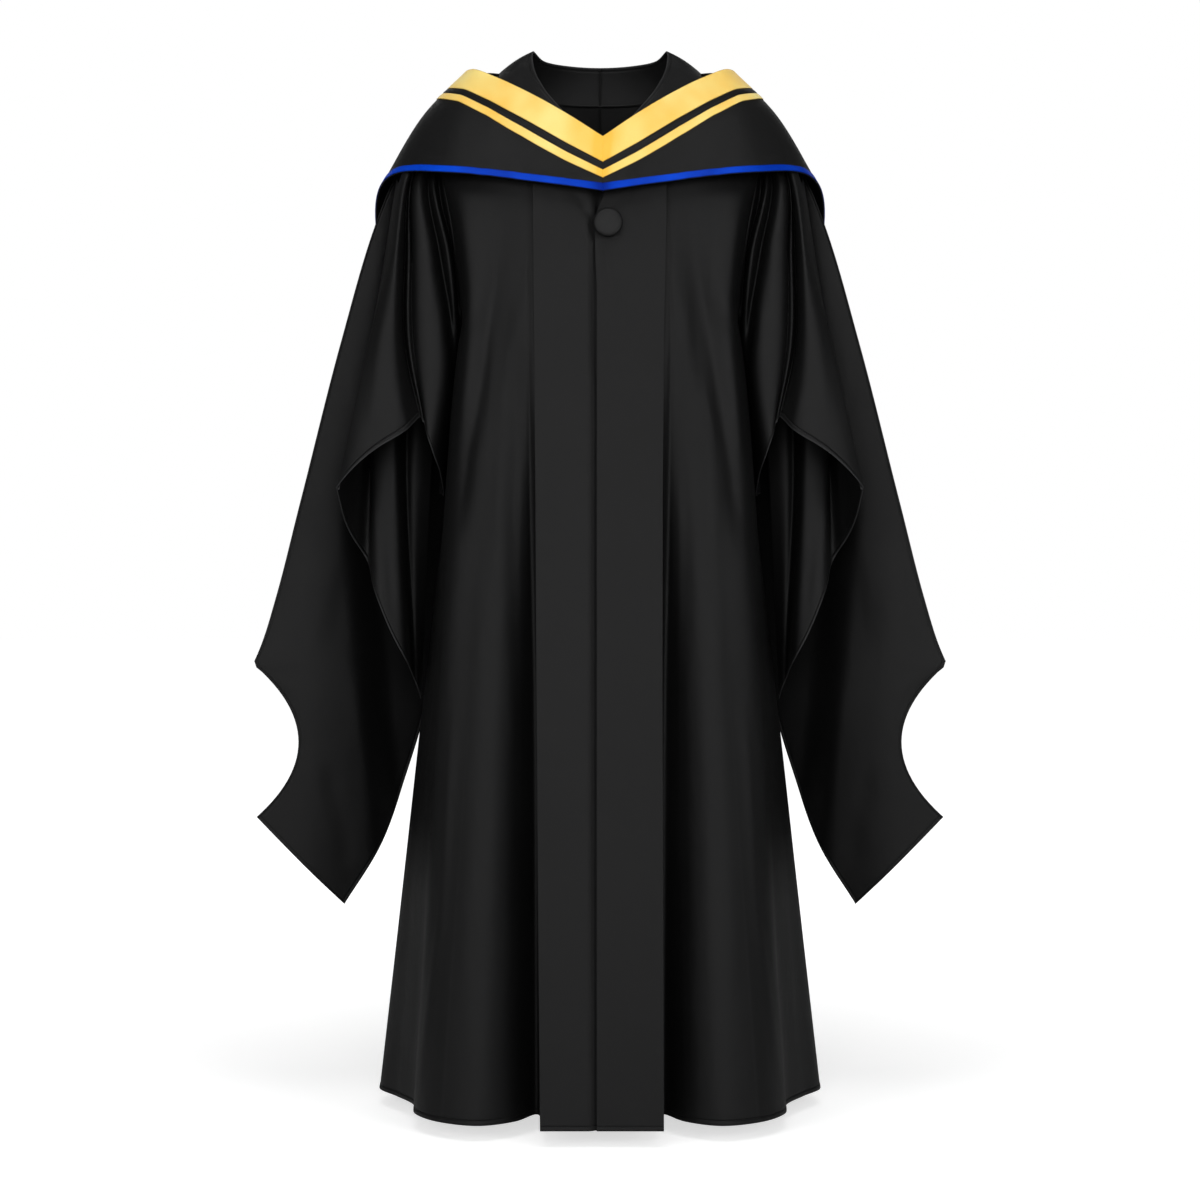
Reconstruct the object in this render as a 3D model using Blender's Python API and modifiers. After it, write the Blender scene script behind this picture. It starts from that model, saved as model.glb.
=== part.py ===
"""Graduation gown with its hood, filled out as on a wearer, made of cloth walls.

Metres in the scene, millimetres in the tables. +Z is up, the front faces -Y, and the origin is the
middle of the shoulders, where the wearer holds the gown up. Left and right are the wearer's: left
is +X. Every piece is worked out for the left side and mirrored to the right.
"""
from typing import NamedTuple

import bmesh
import bpy
import numpy as np

MM = 0.001
MIRROR = (-1.0, 1.0, 1.0)
SIDES = ((1, "left"), (-1, "right"))

# --- cloth thicknesses and gaps, mm -----------------------------------------------------------
GOWN_CLOTH = 1.6
HOOD_CLOTH = 1.6
COLLAR_CLOTH = 2.2
BAND_CLOTH = 3.0
RIBBON = 1.0
SIDE_GAP = 0.8
CENTRE_GAP = 0.7
MITRE_GAP = 1.0
LAY_GAP = 0.4
SHOULDER_STEP = 1.3
COLLAR_STEP_FRONT = 1.7
COLLAR_STEP_BACK = 0.7

# --- levels of the body, mm above the origin ----------------------------------------------------
UNDERARM_Z = -285.0
HIP_Z = -650.0
HEM_Z = -1095.0

# --- armhole, from the shoulder point down to the underarm, mm ----------------------------------
SHOULDER_POINT = (182.0, 0.0, -21.0)
UNDERARM_POINT = (150.0, 0.0, UNDERARM_Z)
ARMHOLE_FRONT = ((176.0, -50.0, -68.0), (157.0, -81.0, -160.0), (148.0, -62.0, -250.0))
ARMHOLE_BACK = ((176.0, 50.0, -72.0), (158.0, 82.0, -165.0), (149.0, 60.0, -250.0))
SLEEVE_STEP = 2.8
WING_STEP = 2.3
SHOULDER_SEAM = ((125.0, 0.0, 24.0), (140.0, 0.0, 22.5), (160.0, 0.0, 3.5), SHOULDER_POINT)

# --- front band: height, front face, outer edges of the right-hand and left-hand bands, mm ---------


class BandLevel(NamedTuple):
    """One height of the two front bands: front face, outer edges of the left and the right band."""

    z: float
    front_y: float
    lap_edge: float
    under_edge: float


BAND_LEVELS = (
    BandLevel(z=-48.0, front_y=-91.0, lap_edge=70.5, under_edge=71.0),
    BandLevel(z=-84.0, front_y=-111.0, lap_edge=70.3, under_edge=70.8),
    BandLevel(z=-116.0, front_y=-123.0, lap_edge=70.2, under_edge=70.7),
    BandLevel(z=-170.0, front_y=-132.0, lap_edge=69.5, under_edge=70.3),
    BandLevel(z=UNDERARM_Z, front_y=-138.5, lap_edge=67.0, under_edge=69.0),
    BandLevel(z=-450.0, front_y=-149.0, lap_edge=65.2, under_edge=67.2),
    BandLevel(z=HIP_Z, front_y=-165.0, lap_edge=64.5, under_edge=65.6),
    BandLevel(z=-870.0, front_y=-183.0, lap_edge=64.8, under_edge=63.5),
    BandLevel(z=HEM_Z, front_y=-201.0, lap_edge=65.0, under_edge=61.0),
)
BAND_TOP = ((0.0, -119.7), (12.0, -111.7), (38.0, -89.2), (71.0, -58.2))
BAND_TOP_FOOT_Z = -170.0
BAND_TOP_STEPS = 4
BAND_STEPS = 2
LAP_X = -3.5
LAP_WIDTH = 28.0
LAP_STEP_WIDTH = 7.0
LAP_SLANT = 1.25
PANEL_TUCK = 10.0

# --- button, mm ---------------------------------------------------------------------------------
BUTTON_X = 8.4
BUTTON_Z = -162.0
BUTTON_RADIUS = 15.5
BUTTON_THICKNESS = 6.0
BUTTON_CROWN = 1.8
SHANK_RADIUS = 4.0
SHANK_LENGTH = 1.6
BUTTON_SEAT_GAP = 0.6
BUTTON_STEPS = 24


# --- gown panels: one row for each fold line, from the band round to the side seam ----------------


class FrontFold(NamedTuple):
    """A fold line of the gown front: place on the top edge, share of the width, (x, y) at levels.

    The top edge runs along the collar's stations, then along the shoulder seam's points.
    """

    name: str
    collar: float
    shoulder: float
    share: float
    underarm: tuple
    hip: tuple
    hem: tuple


FRONT_FOLDS = (
    FrontFold("band seam", 1.75, 0.0, 0.00, (64, -133.5), (60, -160), (57, -196)),
    FrontFold("pleat valley", 2.10, 0.0, 0.00, (74, -133.5), (70, -114), (68, -120)),
    FrontFold("pleat rise", 2.50, 0.0, 0.15, (85, -132), (86, -126), (92, -150)),
    FrontFold("flare crest", 3.40, 0.0, 0.32, (100, -127), (110, -144), (124, -175)),
    FrontFold("flare", 4.50, 0.0, 0.50, (117, -126), (137, -137), (166, -157)),
    FrontFold("flare edge", 0.0, 0.7, 0.66, (132, -110), (155, -115), (194, -116)),
    FrontFold("behind edge", 0.0, 1.5, 0.79, (142, -77), (166, -88), (199, -72)),
    FrontFold("side", 0.0, 2.3, 0.90, (148, -33), (182, -46), (222, -32)),
    FrontFold("side seam", 0.0, 3.0, 1.00, (150, 0), (192, 4), (243, 13)),
)


class BackFold(NamedTuple):
    """A fold line of the gown back: place on the top edge, share of the width, (x, y) at levels."""

    name: str
    collar: float
    shoulder: float
    share: float
    underarm: tuple
    hip: tuple
    hem: tuple


BACK_FOLDS = (
    BackFold("side seam", 0.0, 3.0, 1.00, (150, 0), (192, 4), (243, 13)),
    BackFold("side crest", 0.0, 2.0, 0.90, (144, 44), (182, 47), (233, 60)),
    BackFold("side valley", 0.0, 1.0, 0.77, (134, 78), (163, 84), (205, 94)),
    BackFold("back crest", 4.8, 0.0, 0.64, (118, 103), (146, 118), (184, 138)),
    BackFold("back valley", 5.4, 0.0, 0.50, (95, 118), (115, 124), (142, 134)),
    BackFold("inner crest", 6.0, 0.0, 0.37, (70, 126), (88, 145), (112, 170)),
    BackFold("inner valley", 6.6, 0.0, 0.25, (45, 130), (56, 139), (72, 153)),
    BackFold("centre crest", 7.3, 0.0, 0.12, (22, 132), (29, 150), (38, 176)),
    BackFold("centre seam", 8.0, 0.0, 0.00, (0, 132), (0, 146), (0, 164)),
)


class Across(NamedTuple):
    """A level above the underarm: its ends, how far the cloth bows out and how late it turns back."""

    inner: tuple
    outer: tuple
    bow: float
    turn: float


FRONT_ACROSS = (
    Across((75, -108.5, -90), ARMHOLE_FRONT[0], -12, 1.0),
    Across((75, -123.5, -150), ARMHOLE_FRONT[1], -3, 3.0),
    Across((75, -130.5, -225), ARMHOLE_FRONT[2], -2, 3.6),
)
BACK_ACROSS = (
    Across((0, 114, -70), ARMHOLE_BACK[0], 16, 1.0),
    Across((0, 128, -165), ARMHOLE_BACK[1], 12, 1.0),
    Across((0, 131, -235), ARMHOLE_BACK[2], 18, 1.0),
)
FRONT_STEPS = (1, 2, 2, 3, 3, 3, 2, 2)
BACK_STEPS = (2, 2, 2, 2, 2, 2, 1, 2)
PANEL_STEPS_DOWN = (1, 1, 1, 1, 4, 4)


# --- collar: one row for each station from the front point to the back of the neck ----------------


class CollarStation(NamedTuple):
    """A place along the collar: its neck edge and the edge that is sewn to the gown."""

    name: str
    neck: tuple
    seam: tuple


COLLAR_STATIONS = (
    CollarStation("point", (0, -120, -86), (0, -123, -114)),
    CollarStation("point side", (22, -96, -57), (38, -111, -83)),
    CollarStation("front low", (41, -70, -31), (74, -90, -47)),
    CollarStation("front", (61.6, -30, 1.5), (100, -49, -12)),
    CollarStation("shoulder front", (72.5, 0, 29.5), (110, -12, 17)),
    CollarStation("shoulder", (74, 20, 52), (110, 12, 26)),
    CollarStation("back side", (62, 50, 48), (84, 63, 10.5)),
    CollarStation("back", (34, 72, 47.5), (42, 86, 7)),
    CollarStation("back centre", (0, 78, 47), (0, 90, 6)),
)
COLLAR_STEPS = (1, 1, 2, 2, 1, 2, 2, 2)
SHOULDER_SEAM_START = 4.8
COLLAR_STEP_CHANGE = (3.5, 5.0)
COLLAR_ROWS = 3
COLLAR_ROLL = 2.0


# --- sleeve: fold lines of the gathered front, head level down to the hem -------------------------


class SleeveFold(NamedTuple):
    """A fold line of the sleeve: its place at four levels, mm."""

    name: str
    head: tuple
    upper: tuple
    middle: tuple
    hem: tuple


SLEEVE_FRONT_FOLDS = (
    SleeveFold("inner valley", (174, -64, -109), (157.5, -58, -183), (153, -46, -280), (170, -28, -441)),
    SleeveFold("small ridge", (177, -85, -113), (161, -87, -187), (155, -64, -282), (171, -52, -427)),
    SleeveFold("small valley", (184, -68, -110), (172, -66, -185), (158, -66, -282), (172, -70, -417)),
    SleeveFold("broad ridge", (191, -88, -113), (179, -94, -189), (165, -99, -286), (177, -96, -401)),
    SleeveFold("broad side", (198, -82, -112), (197, -89, -188), (194, -97, -285), (183, -98, -380)),
    SleeveFold("deep valley", (203, -60, -108), (208, -62, -184), (207, -74, -283), (189, -88, -360)),
    SleeveFold("flap ridge", (206, -90, -114), (215, -101, -190), (214, -112, -287), (205, -116, -379)),
    SleeveFold("flap", (210, -87, -113), (219, -97, -189), (229, -113, -287), (235, -119, -403)),
    SleeveFold("outer ridge", (215, -76, -111), (224, -84, -187), (245, -97, -284), (277, -103, -444.5)),
)
SLEEVE_INNER_FOLDS = (
    SleeveFold("back turn", (219, -46, -98), (233, -45, -185), (256, -36, -330), (271, -48, -484)),
    SleeveFold("back valley", (214, -24, -96), (230, -20, -185), (246, -10, -328), (251, -27, -515)),
    SleeveFold("tube edge", (209, -20, -98), (222, -27, -185), (243, -32, -330), (241, -66, -540)),
    SleeveFold("tube ridge", (205, -26, -108), (213, -34, -187), (230, -40, -331), (222.8, -73, -592.5)),
    SleeveFold("tube back", (196, -16, -110), (203, -20, -188), (217, -37, -330), (206, -68, -624)),
    SleeveFold("dark valley", (188, -4, -112), (194, -3, -188), (211, -2, -327), (204, -16, -641)),
    SleeveFold("dim ridge", (180, 2, -115), (181, 0, -190), (204, -12, -328), (200.5, -20, -652)),
    SleeveFold("body side", (175, 12, -120), (169, 10, -190), (180, 2, -324), (197.5, 0, -664)),
)
SLEEVE_STEPS = (1, 2, 2, 2, 2, 2, 2, 2, 3)
INNER_STEPS = (2, 2, 2, 2, 2, 2, 2, 2)
SLEEVE_STEPS_DOWN = (1, 2, 3, 4)
RIDGE_STEP = 1.4
HEAD_STATIONS = (0.10, 1.30)
SEAM_STATIONS = (1.30, 1.62, 2.30, 3.45)
SLEEVE_INNER_END = (176.0, 26.0, -438.0)

# --- sleeve wing: outer edge, crescent cut, inner edge and folds ----------------------------------
WING_OUTER = (
    (184.8, 2, -25),
    (204.5, -7, -52),
    (220.5, -13, -85.5),
    (233.8, -17, -114.5),
    (244.6, -18, -143.5),
    (282.8, -12, -270.5),
    (329, -2, -446.5),
    (357.6, 3, -555.5),
    (371, 3, -599.5),
    (381.4, 2, -626),
)
CRESCENT_LOW = (379.0, 10.0, -795.0)
CRESCENT_DEPTH = 47.5
WING_INNER = (
    (152.6, 2, -288),
    (156, 32, -325),
    (158.5, 56, -370),
    (162.5, 66, -440),
    (175.5, 64, -550),
    (189.5, 58, -634),
    (197, 55, -674),
    (222.5, 50, -761),
    (247.5, 44, -833),
    (285, 34, -894),
)
WING_STRAIGHT_STEPS = 9
WING_CRESCENT_STEPS = 8
WING_COLUMNS = 10
WING_TURN = 2.1
WING_EDGE_FADE = 24
WING_HOLE_FADE = 6
WING_FADE_SHARE = 0.4


class WingFold(NamedTuple):
    """A step or a swell of the wing along a line from (x, z) above to (x, z) below."""

    name: str
    x_above: float
    z_above: float
    x_below: float
    z_below: float
    half_width: float
    depth: float
    step: bool


WING_FOLDS = (
    WingFold("long step", 270, -463, 241, -807, 18, 28, True),
    WingFold("outer swell", 322, -420, 318, -830, 24, -6, False),
)
WING_FOLD_FADE = (-390.0, -560.0)


# --- hood: one row for each line from the neck edge down to the lower edge ------------------------


class HoodLine(NamedTuple):
    """A line down the hood: neck edge, middle, lower edge, and how much slant widens the bands."""

    name: str
    neck: tuple
    middle: tuple
    lower: tuple
    slant: float


HOOD_LINES = (
    HoodLine("centre front", (0, -124, -70), (0, -135, -100), (0, -142, -130), 1.14),
    HoodLine("chest inner", (38, -102, -41), (38, -122, -80), (38, -139, -124), 1.45),
    HoodLine("chest", (81.5, -68, -10), (83, -104, -58), (84, -132, -117), 1.66),
    HoodLine("chest outer", (114.5, -42, 10.5), (120, -88, -42), (122, -126, -111), 1.63),
    HoodLine("collarbone", (137.5, -20, 23), (154, -68, -28), (165, -113, -105.5), 1.47),
    HoodLine("shoulder front", (147, 2, 25), (188, -28, -24), (220, -66, -99), 1.20),
    HoodLine("shoulder", (139.5, 22, 26), (198.8, 6, -34.6), (245, 0, -114), 1.10),
    HoodLine("shoulder back", (130, 52, 20), (197, 58, -50), (246, 58, -168), 1.10),
    HoodLine("back outer", (103, 82, 11), (160, 112, -95), (203, 108, -262), 1.10),
    HoodLine("back", (56, 100, 5), (88, 135, -140), (118, 138, -335), 1.10),
    HoodLine("centre back", (0, 106, 2), (0, 142, -150), (0, 147, -362), 1.10),
)
HOOD_STEPS = (2, 2, 2, 2, 3, 3, 3, 2, 2, 2)
WIDE_BAND = 27.0
STRIPE = 7.5
NARROW_BAND = 8.0
EDGE_WIDTH = 8.5
HOOD_ROWS_BETWEEN = 3
HOOD_CURVE_SAMPLES = 40
HOOD_SEAM_X = 3.0
HOOD_SEAM_REACH = 100.0


# --- finishes: linear colour, roughness ---------------------------------------------------------


class Finish(NamedTuple):
    """A cloth's look: linear colour and roughness."""

    name: str
    colour: tuple
    roughness: float


BLACK_CLOTH = Finish("black_cloth", (0.012, 0.012, 0.014), 0.55)
YELLOW_SATIN = Finish("yellow_satin", (0.90, 0.62, 0.16), 0.38)
BLUE_SATIN = Finish("blue_satin", (0.01, 0.05, 0.62), 0.38)


def clear_scene():
    """Remove every object, so that the model stands alone."""
    for thing in list(bpy.data.objects):
        bpy.data.objects.remove(thing)


def material_for(node, finish):
    """Make the node's own material from a finish."""
    material = bpy.data.materials.new(f"{node}_{finish.name}")
    material.use_nodes = True
    shader = material.node_tree.nodes["Principled BSDF"]
    shader.inputs["Base Color"].default_value = (*finish.colour, 1.0)
    shader.inputs["Roughness"].default_value = finish.roughness
    shader.inputs["Metallic"].default_value = 0.0
    return material


def stations(steps):
    """Turn the number of steps in each interval into places: point number plus share of the way on."""
    places = [first + step / count for first, count in enumerate(steps) for step in range(count)]
    return places + [float(len(steps))]


def smooth_curve(points, places, held=False):
    """Read a smooth curve through the points at the given places; a held one never swings past them."""
    points = np.asarray(points, dtype=float)
    steps = np.diff(points, axis=0)
    lengths = np.linalg.norm(steps, axis=1)
    slopes = steps / lengths[:, None]
    tangents = np.empty_like(points)
    tangents[0] = slopes[0]
    tangents[-1] = slopes[-1]
    before = lengths[:-1, None]
    after = lengths[1:, None]
    tangents[1:-1] = (slopes[:-1] * after + slopes[1:] * before) / (before + after)
    if held:
        limit = 2 * np.minimum(np.abs(slopes[:-1]), np.abs(slopes[1:])) * (slopes[:-1] * slopes[1:] > 0)
        tangents[1:-1] = np.clip(tangents[1:-1], -limit, limit)
    result = []
    for place in places:
        first = min(int(place), len(points) - 2)
        share = place - first
        square = share * share
        cube = square * share
        start = (2 * cube - 3 * square + 1) * points[first] + (3 * square - 2 * cube) * points[first + 1]
        leave = (cube - 2 * square + share) * tangents[first] + (cube - square) * tangents[first + 1]
        result.append(start + leave * lengths[first])
    return np.array(result)


def evenly(points, steps):
    """Read a smooth curve through the points at even distances along it."""
    fine = smooth_curve(points, stations([HOOD_CURVE_SAMPLES] * (len(points) - 1)))
    along = np.concatenate(([0.0], np.cumsum(np.linalg.norm(np.diff(fine, axis=0), axis=1))))
    return at_distances(fine, np.linspace(0.0, along[-1], steps + 1))


def at_distances(fine, distances):
    """Read a finely sampled line at distances from its start."""
    along = np.concatenate(([0.0], np.cumsum(np.linalg.norm(np.diff(fine, axis=0), axis=1))))
    return np.column_stack([np.interp(distances, along, fine[:, axis]) for axis in range(3)])


def spread(columns, steps_across, after=None):
    """Spread a smooth surface across columns of points that run down through the same levels.

    The column after the last one, where there is a neighbour, only steers the surface at the seam.
    """
    places = stations(steps_across)
    steering = [*columns] if after is None else [*columns, after]
    rows = [smooth_curve([column[row] for column in steering], places) for row in range(len(columns[0]))]
    return np.array(rows).transpose(1, 0, 2)


def outward(points):
    """Unit directions that point away from the wearer, at each point of a panel."""
    across = np.gradient(points, axis=0)
    down = np.gradient(points, axis=1)
    directions = np.cross(down, across)
    return directions / np.linalg.norm(directions, axis=2)[:, :, None]


def pulled_in(points, gap, first_column=False, last_column=False):
    """Draw a panel's edge columns back by half a seam's gap."""
    points = points.copy()
    for wanted, edge, inside in ((first_column, 0, 1), (last_column, -1, -2)):
        if wanted:
            away = points[inside] - points[edge]
            points[edge] += away / np.linalg.norm(away, axis=1)[:, None] * gap / 2
    return points


def mirrored(points, side):
    """The panel on the asked side: 1 keeps +X, -1 gives the other one."""
    return points * (side, 1.0, 1.0)


def cloth(name, points, thickness, finish, collection):
    """Make a wall of cloth from a panel's points, in millimetres, columns by rows."""
    columns, rows = points.shape[:2]
    shape = bmesh.new()
    bmesh.ops.create_grid(shape, x_segments=columns - 1, y_segments=rows - 1, size=0.5)
    for vertex in shape.verts:
        column = round((vertex.co.x + 0.5) * (columns - 1))
        row = round((vertex.co.y + 0.5) * (rows - 1))
        vertex.co = points[column, row] * MM
    mesh = bpy.data.meshes.new(name)
    shape.to_mesh(mesh)
    shape.free()
    mesh.shade_smooth()
    mesh.materials.append(material_for(name, finish))
    piece = bpy.data.objects.new(name, mesh)
    collection.objects.link(piece)
    wall = piece.modifiers.new("wall", "SOLIDIFY")
    wall.thickness = thickness * MM
    wall.offset = 0.0
    return piece


def armhole(points):
    """The points of one half of the armhole, shoulder to underarm."""
    return (SHOULDER_POINT, *points, UNDERARM_POINT)


def collar_edges(places):
    """The collar's neck edge and its sewn edge, at places along it; both run level over the back."""
    edges = []
    for name in ("neck", "seam"):
        points = [getattr(station, name) for station in COLLAR_STATIONS]
        edges.append(smooth_curve([*points, np.array(points[-2]) * MIRROR], places))
    return edges


def collar_foot(place):
    """Where the gown starts below the collar's sewn edge, at a place along the collar."""
    neck, seam = (edge[0] for edge in collar_edges([place]))
    step = np.interp(place, COLLAR_STEP_CHANGE, (COLLAR_STEP_FRONT, COLLAR_STEP_BACK))
    return seam + (seam - neck) / np.linalg.norm(seam - neck) * step


def top_edge(folds, steps_across, step_y):
    """A panel's top edge: along the collar, then along the shoulder seam."""
    shoulder = [collar_foot(SHOULDER_SEAM_START), *SHOULDER_SEAM]
    points = []
    places = stations(steps_across)
    for place in places:
        first = min(int(place), len(folds) - 2)
        share = place - first
        here, there = folds[first], folds[first + 1]
        if here.shoulder + there.shoulder == 0:
            points.append(collar_foot(here.collar + (there.collar - here.collar) * share))
        else:
            along = here.shoulder + (there.shoulder - here.shoulder) * share
            points.append(smooth_curve(shoulder, [along * len(SHOULDER_SEAM) / 3.0])[0] + (0.0, step_y, 0.0))
    return np.array(points)


def across_points(level, shares):
    """Points of a level above the underarm at the given shares of its width."""
    inner = np.array(level.inner, dtype=float)
    outer = np.array(level.outer, dtype=float)
    points = [inner + (outer - inner) * share for share in shares]
    for point, share in zip(points, shares):
        point[1] += level.bow * 4 * share * (1 - share)
        point[1] += (outer[1] - inner[1]) * (share ** level.turn - share)
    return points


def fold_columns(folds, across, hole, step_y):
    """A gown panel's fold lines; the side one follows the armhole, then the side seam."""
    levels = [across_points(level, [fold.share for fold in folds]) for level in across]
    top = top_edge(folds, [1] * (len(folds) - 1), step_y)
    columns = []
    for number, fold in enumerate(folds):
        below = [(*fold.underarm, UNDERARM_Z), (*fold.hip, HIP_Z), (*fold.hem, HEM_Z)]
        line = [top[number], *(level[number] for level in levels), *below]
        if fold.name == "band seam":
            line[1:4] = [point - (PANEL_TUCK, 0.0, 0.0) for point in line[1:4]]
        column = smooth_curve(line, stations(PANEL_STEPS_DOWN), held=True)
        if fold.name == "side seam":
            down_hole = smooth_curve([top[number], *hole[1:]], stations(PANEL_STEPS_DOWN[:4]))
            column = np.concatenate((down_hole, smooth_curve(below, stations(PANEL_STEPS_DOWN[4:]))[1:]))
        columns.append(column)
    return columns


def make_gown(collection):
    """Two fronts and two backs, with a seam's gap between them."""
    front_columns = fold_columns(FRONT_FOLDS, FRONT_ACROSS, armhole(ARMHOLE_FRONT), -SHOULDER_STEP)
    back_columns = fold_columns(BACK_FOLDS, BACK_ACROSS, armhole(ARMHOLE_BACK), SHOULDER_STEP)
    front = spread(front_columns, FRONT_STEPS, after=back_columns[1])
    front[:, 0] = top_edge(FRONT_FOLDS, FRONT_STEPS, -SHOULDER_STEP)
    front[0, 0, 1] = band_level(front[0, 0, 2])[0] + BAND_CLOTH * LAP_SLANT + GOWN_CLOTH
    towards_side = spread(back_columns[::-1], BACK_STEPS[::-1], after=front_columns[-2])[::-1]
    towards_centre = spread(back_columns, BACK_STEPS, after=back_columns[-2] * MIRROR)
    half = sum(BACK_STEPS) // 2
    back = np.concatenate((towards_side[:half], towards_centre[half:]))
    back[:, 0] = top_edge(BACK_FOLDS, BACK_STEPS, SHOULDER_STEP)
    front = pulled_in(front, SIDE_GAP, last_column=True)
    back = pulled_in(pulled_in(back, SIDE_GAP, first_column=True), CENTRE_GAP, last_column=True)
    for side, word in SIDES:
        cloth(f"front_{word}", mirrored(front, side), GOWN_CLOTH, BLACK_CLOTH, collection)
        cloth(f"back_{word}", mirrored(back, side), GOWN_CLOTH, BLACK_CLOTH, collection)


def band_level(z):
    """The front bands' front face and outer edges at a height."""
    levels = np.array([level[:] for level in BAND_LEVELS])
    heights = levels[:, 0]
    first = int(np.clip(np.searchsorted(-heights, -z) - 1, 0, len(levels) - 2))
    share = (heights[first] - z) / (heights[first] - heights[first + 1])
    faces = smooth_curve(levels[:, :2], [first + share])[0]
    return (faces[1], *(np.interp(-z, -heights, levels[:, column]) for column in (2, 3)))


def band_points(xs_at, steps_back):
    """A band's columns, from the collar's slant down to the hem."""
    top_xs, top_zs = zip(*BAND_TOP)
    foot = [level.z for level in BAND_LEVELS].index(BAND_TOP_FOOT_Z)
    low = [level.z for level in BAND_LEVELS[foot:]]
    low_rows = np.interp(stations([BAND_STEPS] * (len(low) - 1)), range(len(low)), low)
    columns = []
    for column, step_back in enumerate(steps_back):
        top = np.interp(abs(xs_at(BAND_LEVELS[0].z)[column]), top_xs, top_zs)
        heights = (*np.linspace(top, BAND_TOP_FOOT_Z, BAND_TOP_STEPS + 1)[:-1], *low_rows)
        faces = [band_level(z)[0] + BAND_CLOTH / 2 + step_back for z in heights]
        columns.append([(xs_at(z)[column], face, z) for z, face in zip(heights, faces)])
    return np.array(columns)


def make_bands(collection):
    """The lapping band on the left and the band under it on the right."""
    under = (BAND_CLOTH + LAY_GAP) * LAP_SLANT

    def lap_xs(z):
        outer = band_level(z)[1]
        return (LAP_X, (LAP_X + outer) / 2, outer)

    def under_xs(z):
        outer = -band_level(z)[2]
        step = LAP_X - LAY_GAP - LAP_STEP_WIDTH
        return (outer, (outer + step) / 2, step, LAP_X - LAY_GAP, LAP_X + LAP_WIDTH)

    cloth("band_left", band_points(lap_xs, (0, 0, 0)), BAND_CLOTH, BLACK_CLOTH, collection)
    cloth("band_right", band_points(under_xs, (0, 0, 0, under, under)), BAND_CLOTH, BLACK_CLOTH, collection)


def make_collar(collection):
    """Two collar halves, sewn at the centre back and meeting in the front point."""
    neck, seam = collar_edges(stations(COLLAR_STEPS))
    shares = np.linspace(0.0, 1.0, COLLAR_ROWS + 1)
    points = neck[:, None] + (seam - neck)[:, None] * shares[None, :, None]
    points += outward(points) * (COLLAR_ROLL * 4 * shares * (1 - shares))[None, :, None]
    points = pulled_in(pulled_in(points, MITRE_GAP, first_column=True), CENTRE_GAP, last_column=True)
    for side, word in SIDES:
        cloth(f"collar_{word}", mirrored(points, side), COLLAR_CLOTH, BLACK_CLOTH, collection)


def make_button(collection):
    """A cloth-covered disc with a crown and a shank that reaches the lapping band."""
    profile = (
        (0.0, BUTTON_THICKNESS + BUTTON_CROWN),
        (BUTTON_RADIUS * 0.55, BUTTON_THICKNESS + BUTTON_CROWN * 0.7),
        (BUTTON_RADIUS * 0.88, BUTTON_THICKNESS),
        (BUTTON_RADIUS, BUTTON_THICKNESS * 0.65),
        (BUTTON_RADIUS, BUTTON_THICKNESS * 0.3),
        (BUTTON_RADIUS * 0.86, 0.0),
        (SHANK_RADIUS, 0.0),
        (SHANK_RADIUS, -SHANK_LENGTH),
        (0.0, -SHANK_LENGTH),
    )
    shape = bmesh.new()
    points = [shape.verts.new((radius * MM, 0.0, height * MM)) for radius, height in profile]
    for first, second in zip(points, points[1:]):
        shape.edges.new((first, second))
    mesh = bpy.data.meshes.new("button")
    shape.to_mesh(mesh)
    shape.free()
    mesh.materials.append(material_for("button", BLACK_CLOTH))
    piece = bpy.data.objects.new("button", mesh)
    collection.objects.link(piece)
    turned = piece.modifiers.new("turned", "SCREW")
    turned.steps = BUTTON_STEPS
    turned.render_steps = BUTTON_STEPS
    turned.use_merge_vertices = True
    turned.merge_threshold = 0.00001
    above = band_level(BUTTON_Z + BUTTON_RADIUS)[0]
    below = band_level(BUTTON_Z - BUTTON_RADIUS)[0]
    tilt = np.arctan2(above - below, 2 * BUTTON_RADIUS)
    front_y = (above + below) / 2 - BUTTON_SEAT_GAP - SHANK_LENGTH
    piece.location = (BUTTON_X * MM, front_y * MM, BUTTON_Z * MM)
    piece.rotation_euler = (np.pi / 2 - tilt, 0.0, 0.0)


def sleeve_front_points():
    """The gathered front of the sleeve, from the armhole seam and body side out to the outer ridge."""
    step = np.array((SLEEVE_STEP, 0.0, 0.0))
    hole = armhole(ARMHOLE_FRONT)
    outermost, innermost = HEAD_STATIONS
    seam_line = smooth_curve(hole, SEAM_STATIONS) + step
    lines = [[smooth_curve(hole, [innermost])[0] + step, *seam_line[1:], np.array(SLEEVE_INNER_END)]]
    count = len(SLEEVE_FRONT_FOLDS)
    for number, fold in enumerate(SLEEVE_FRONT_FOLDS, start=1):
        place = innermost + (outermost - innermost) * number / count
        lines.append([smooth_curve(hole, [place])[0] + step, fold.head, fold.upper, fold.middle, fold.hem])
    down = stations(SLEEVE_STEPS_DOWN)
    return spread([smooth_curve(line, down) for line in lines], SLEEVE_STEPS)


def sleeve_inner_points(front):
    """The back half of the bell: it starts along the front's outer ridge and turns in to the body."""
    ridge_rows = front[-1, SLEEVE_STEPS_DOWN[0]:] + np.array((0.0, RIDGE_STEP, 0.0))
    down = stations(SLEEVE_STEPS_DOWN[1:])
    columns = [smooth_curve(fold[1:], down) for fold in SLEEVE_INNER_FOLDS]
    return spread([ridge_rows, *columns], INNER_STEPS)


def eased(shares):
    """Shares from 0 to 1 that start and end softly."""
    shares = np.clip(shares, 0.0, 1.0)
    return shares * shares * (3 - 2 * shares)


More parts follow.
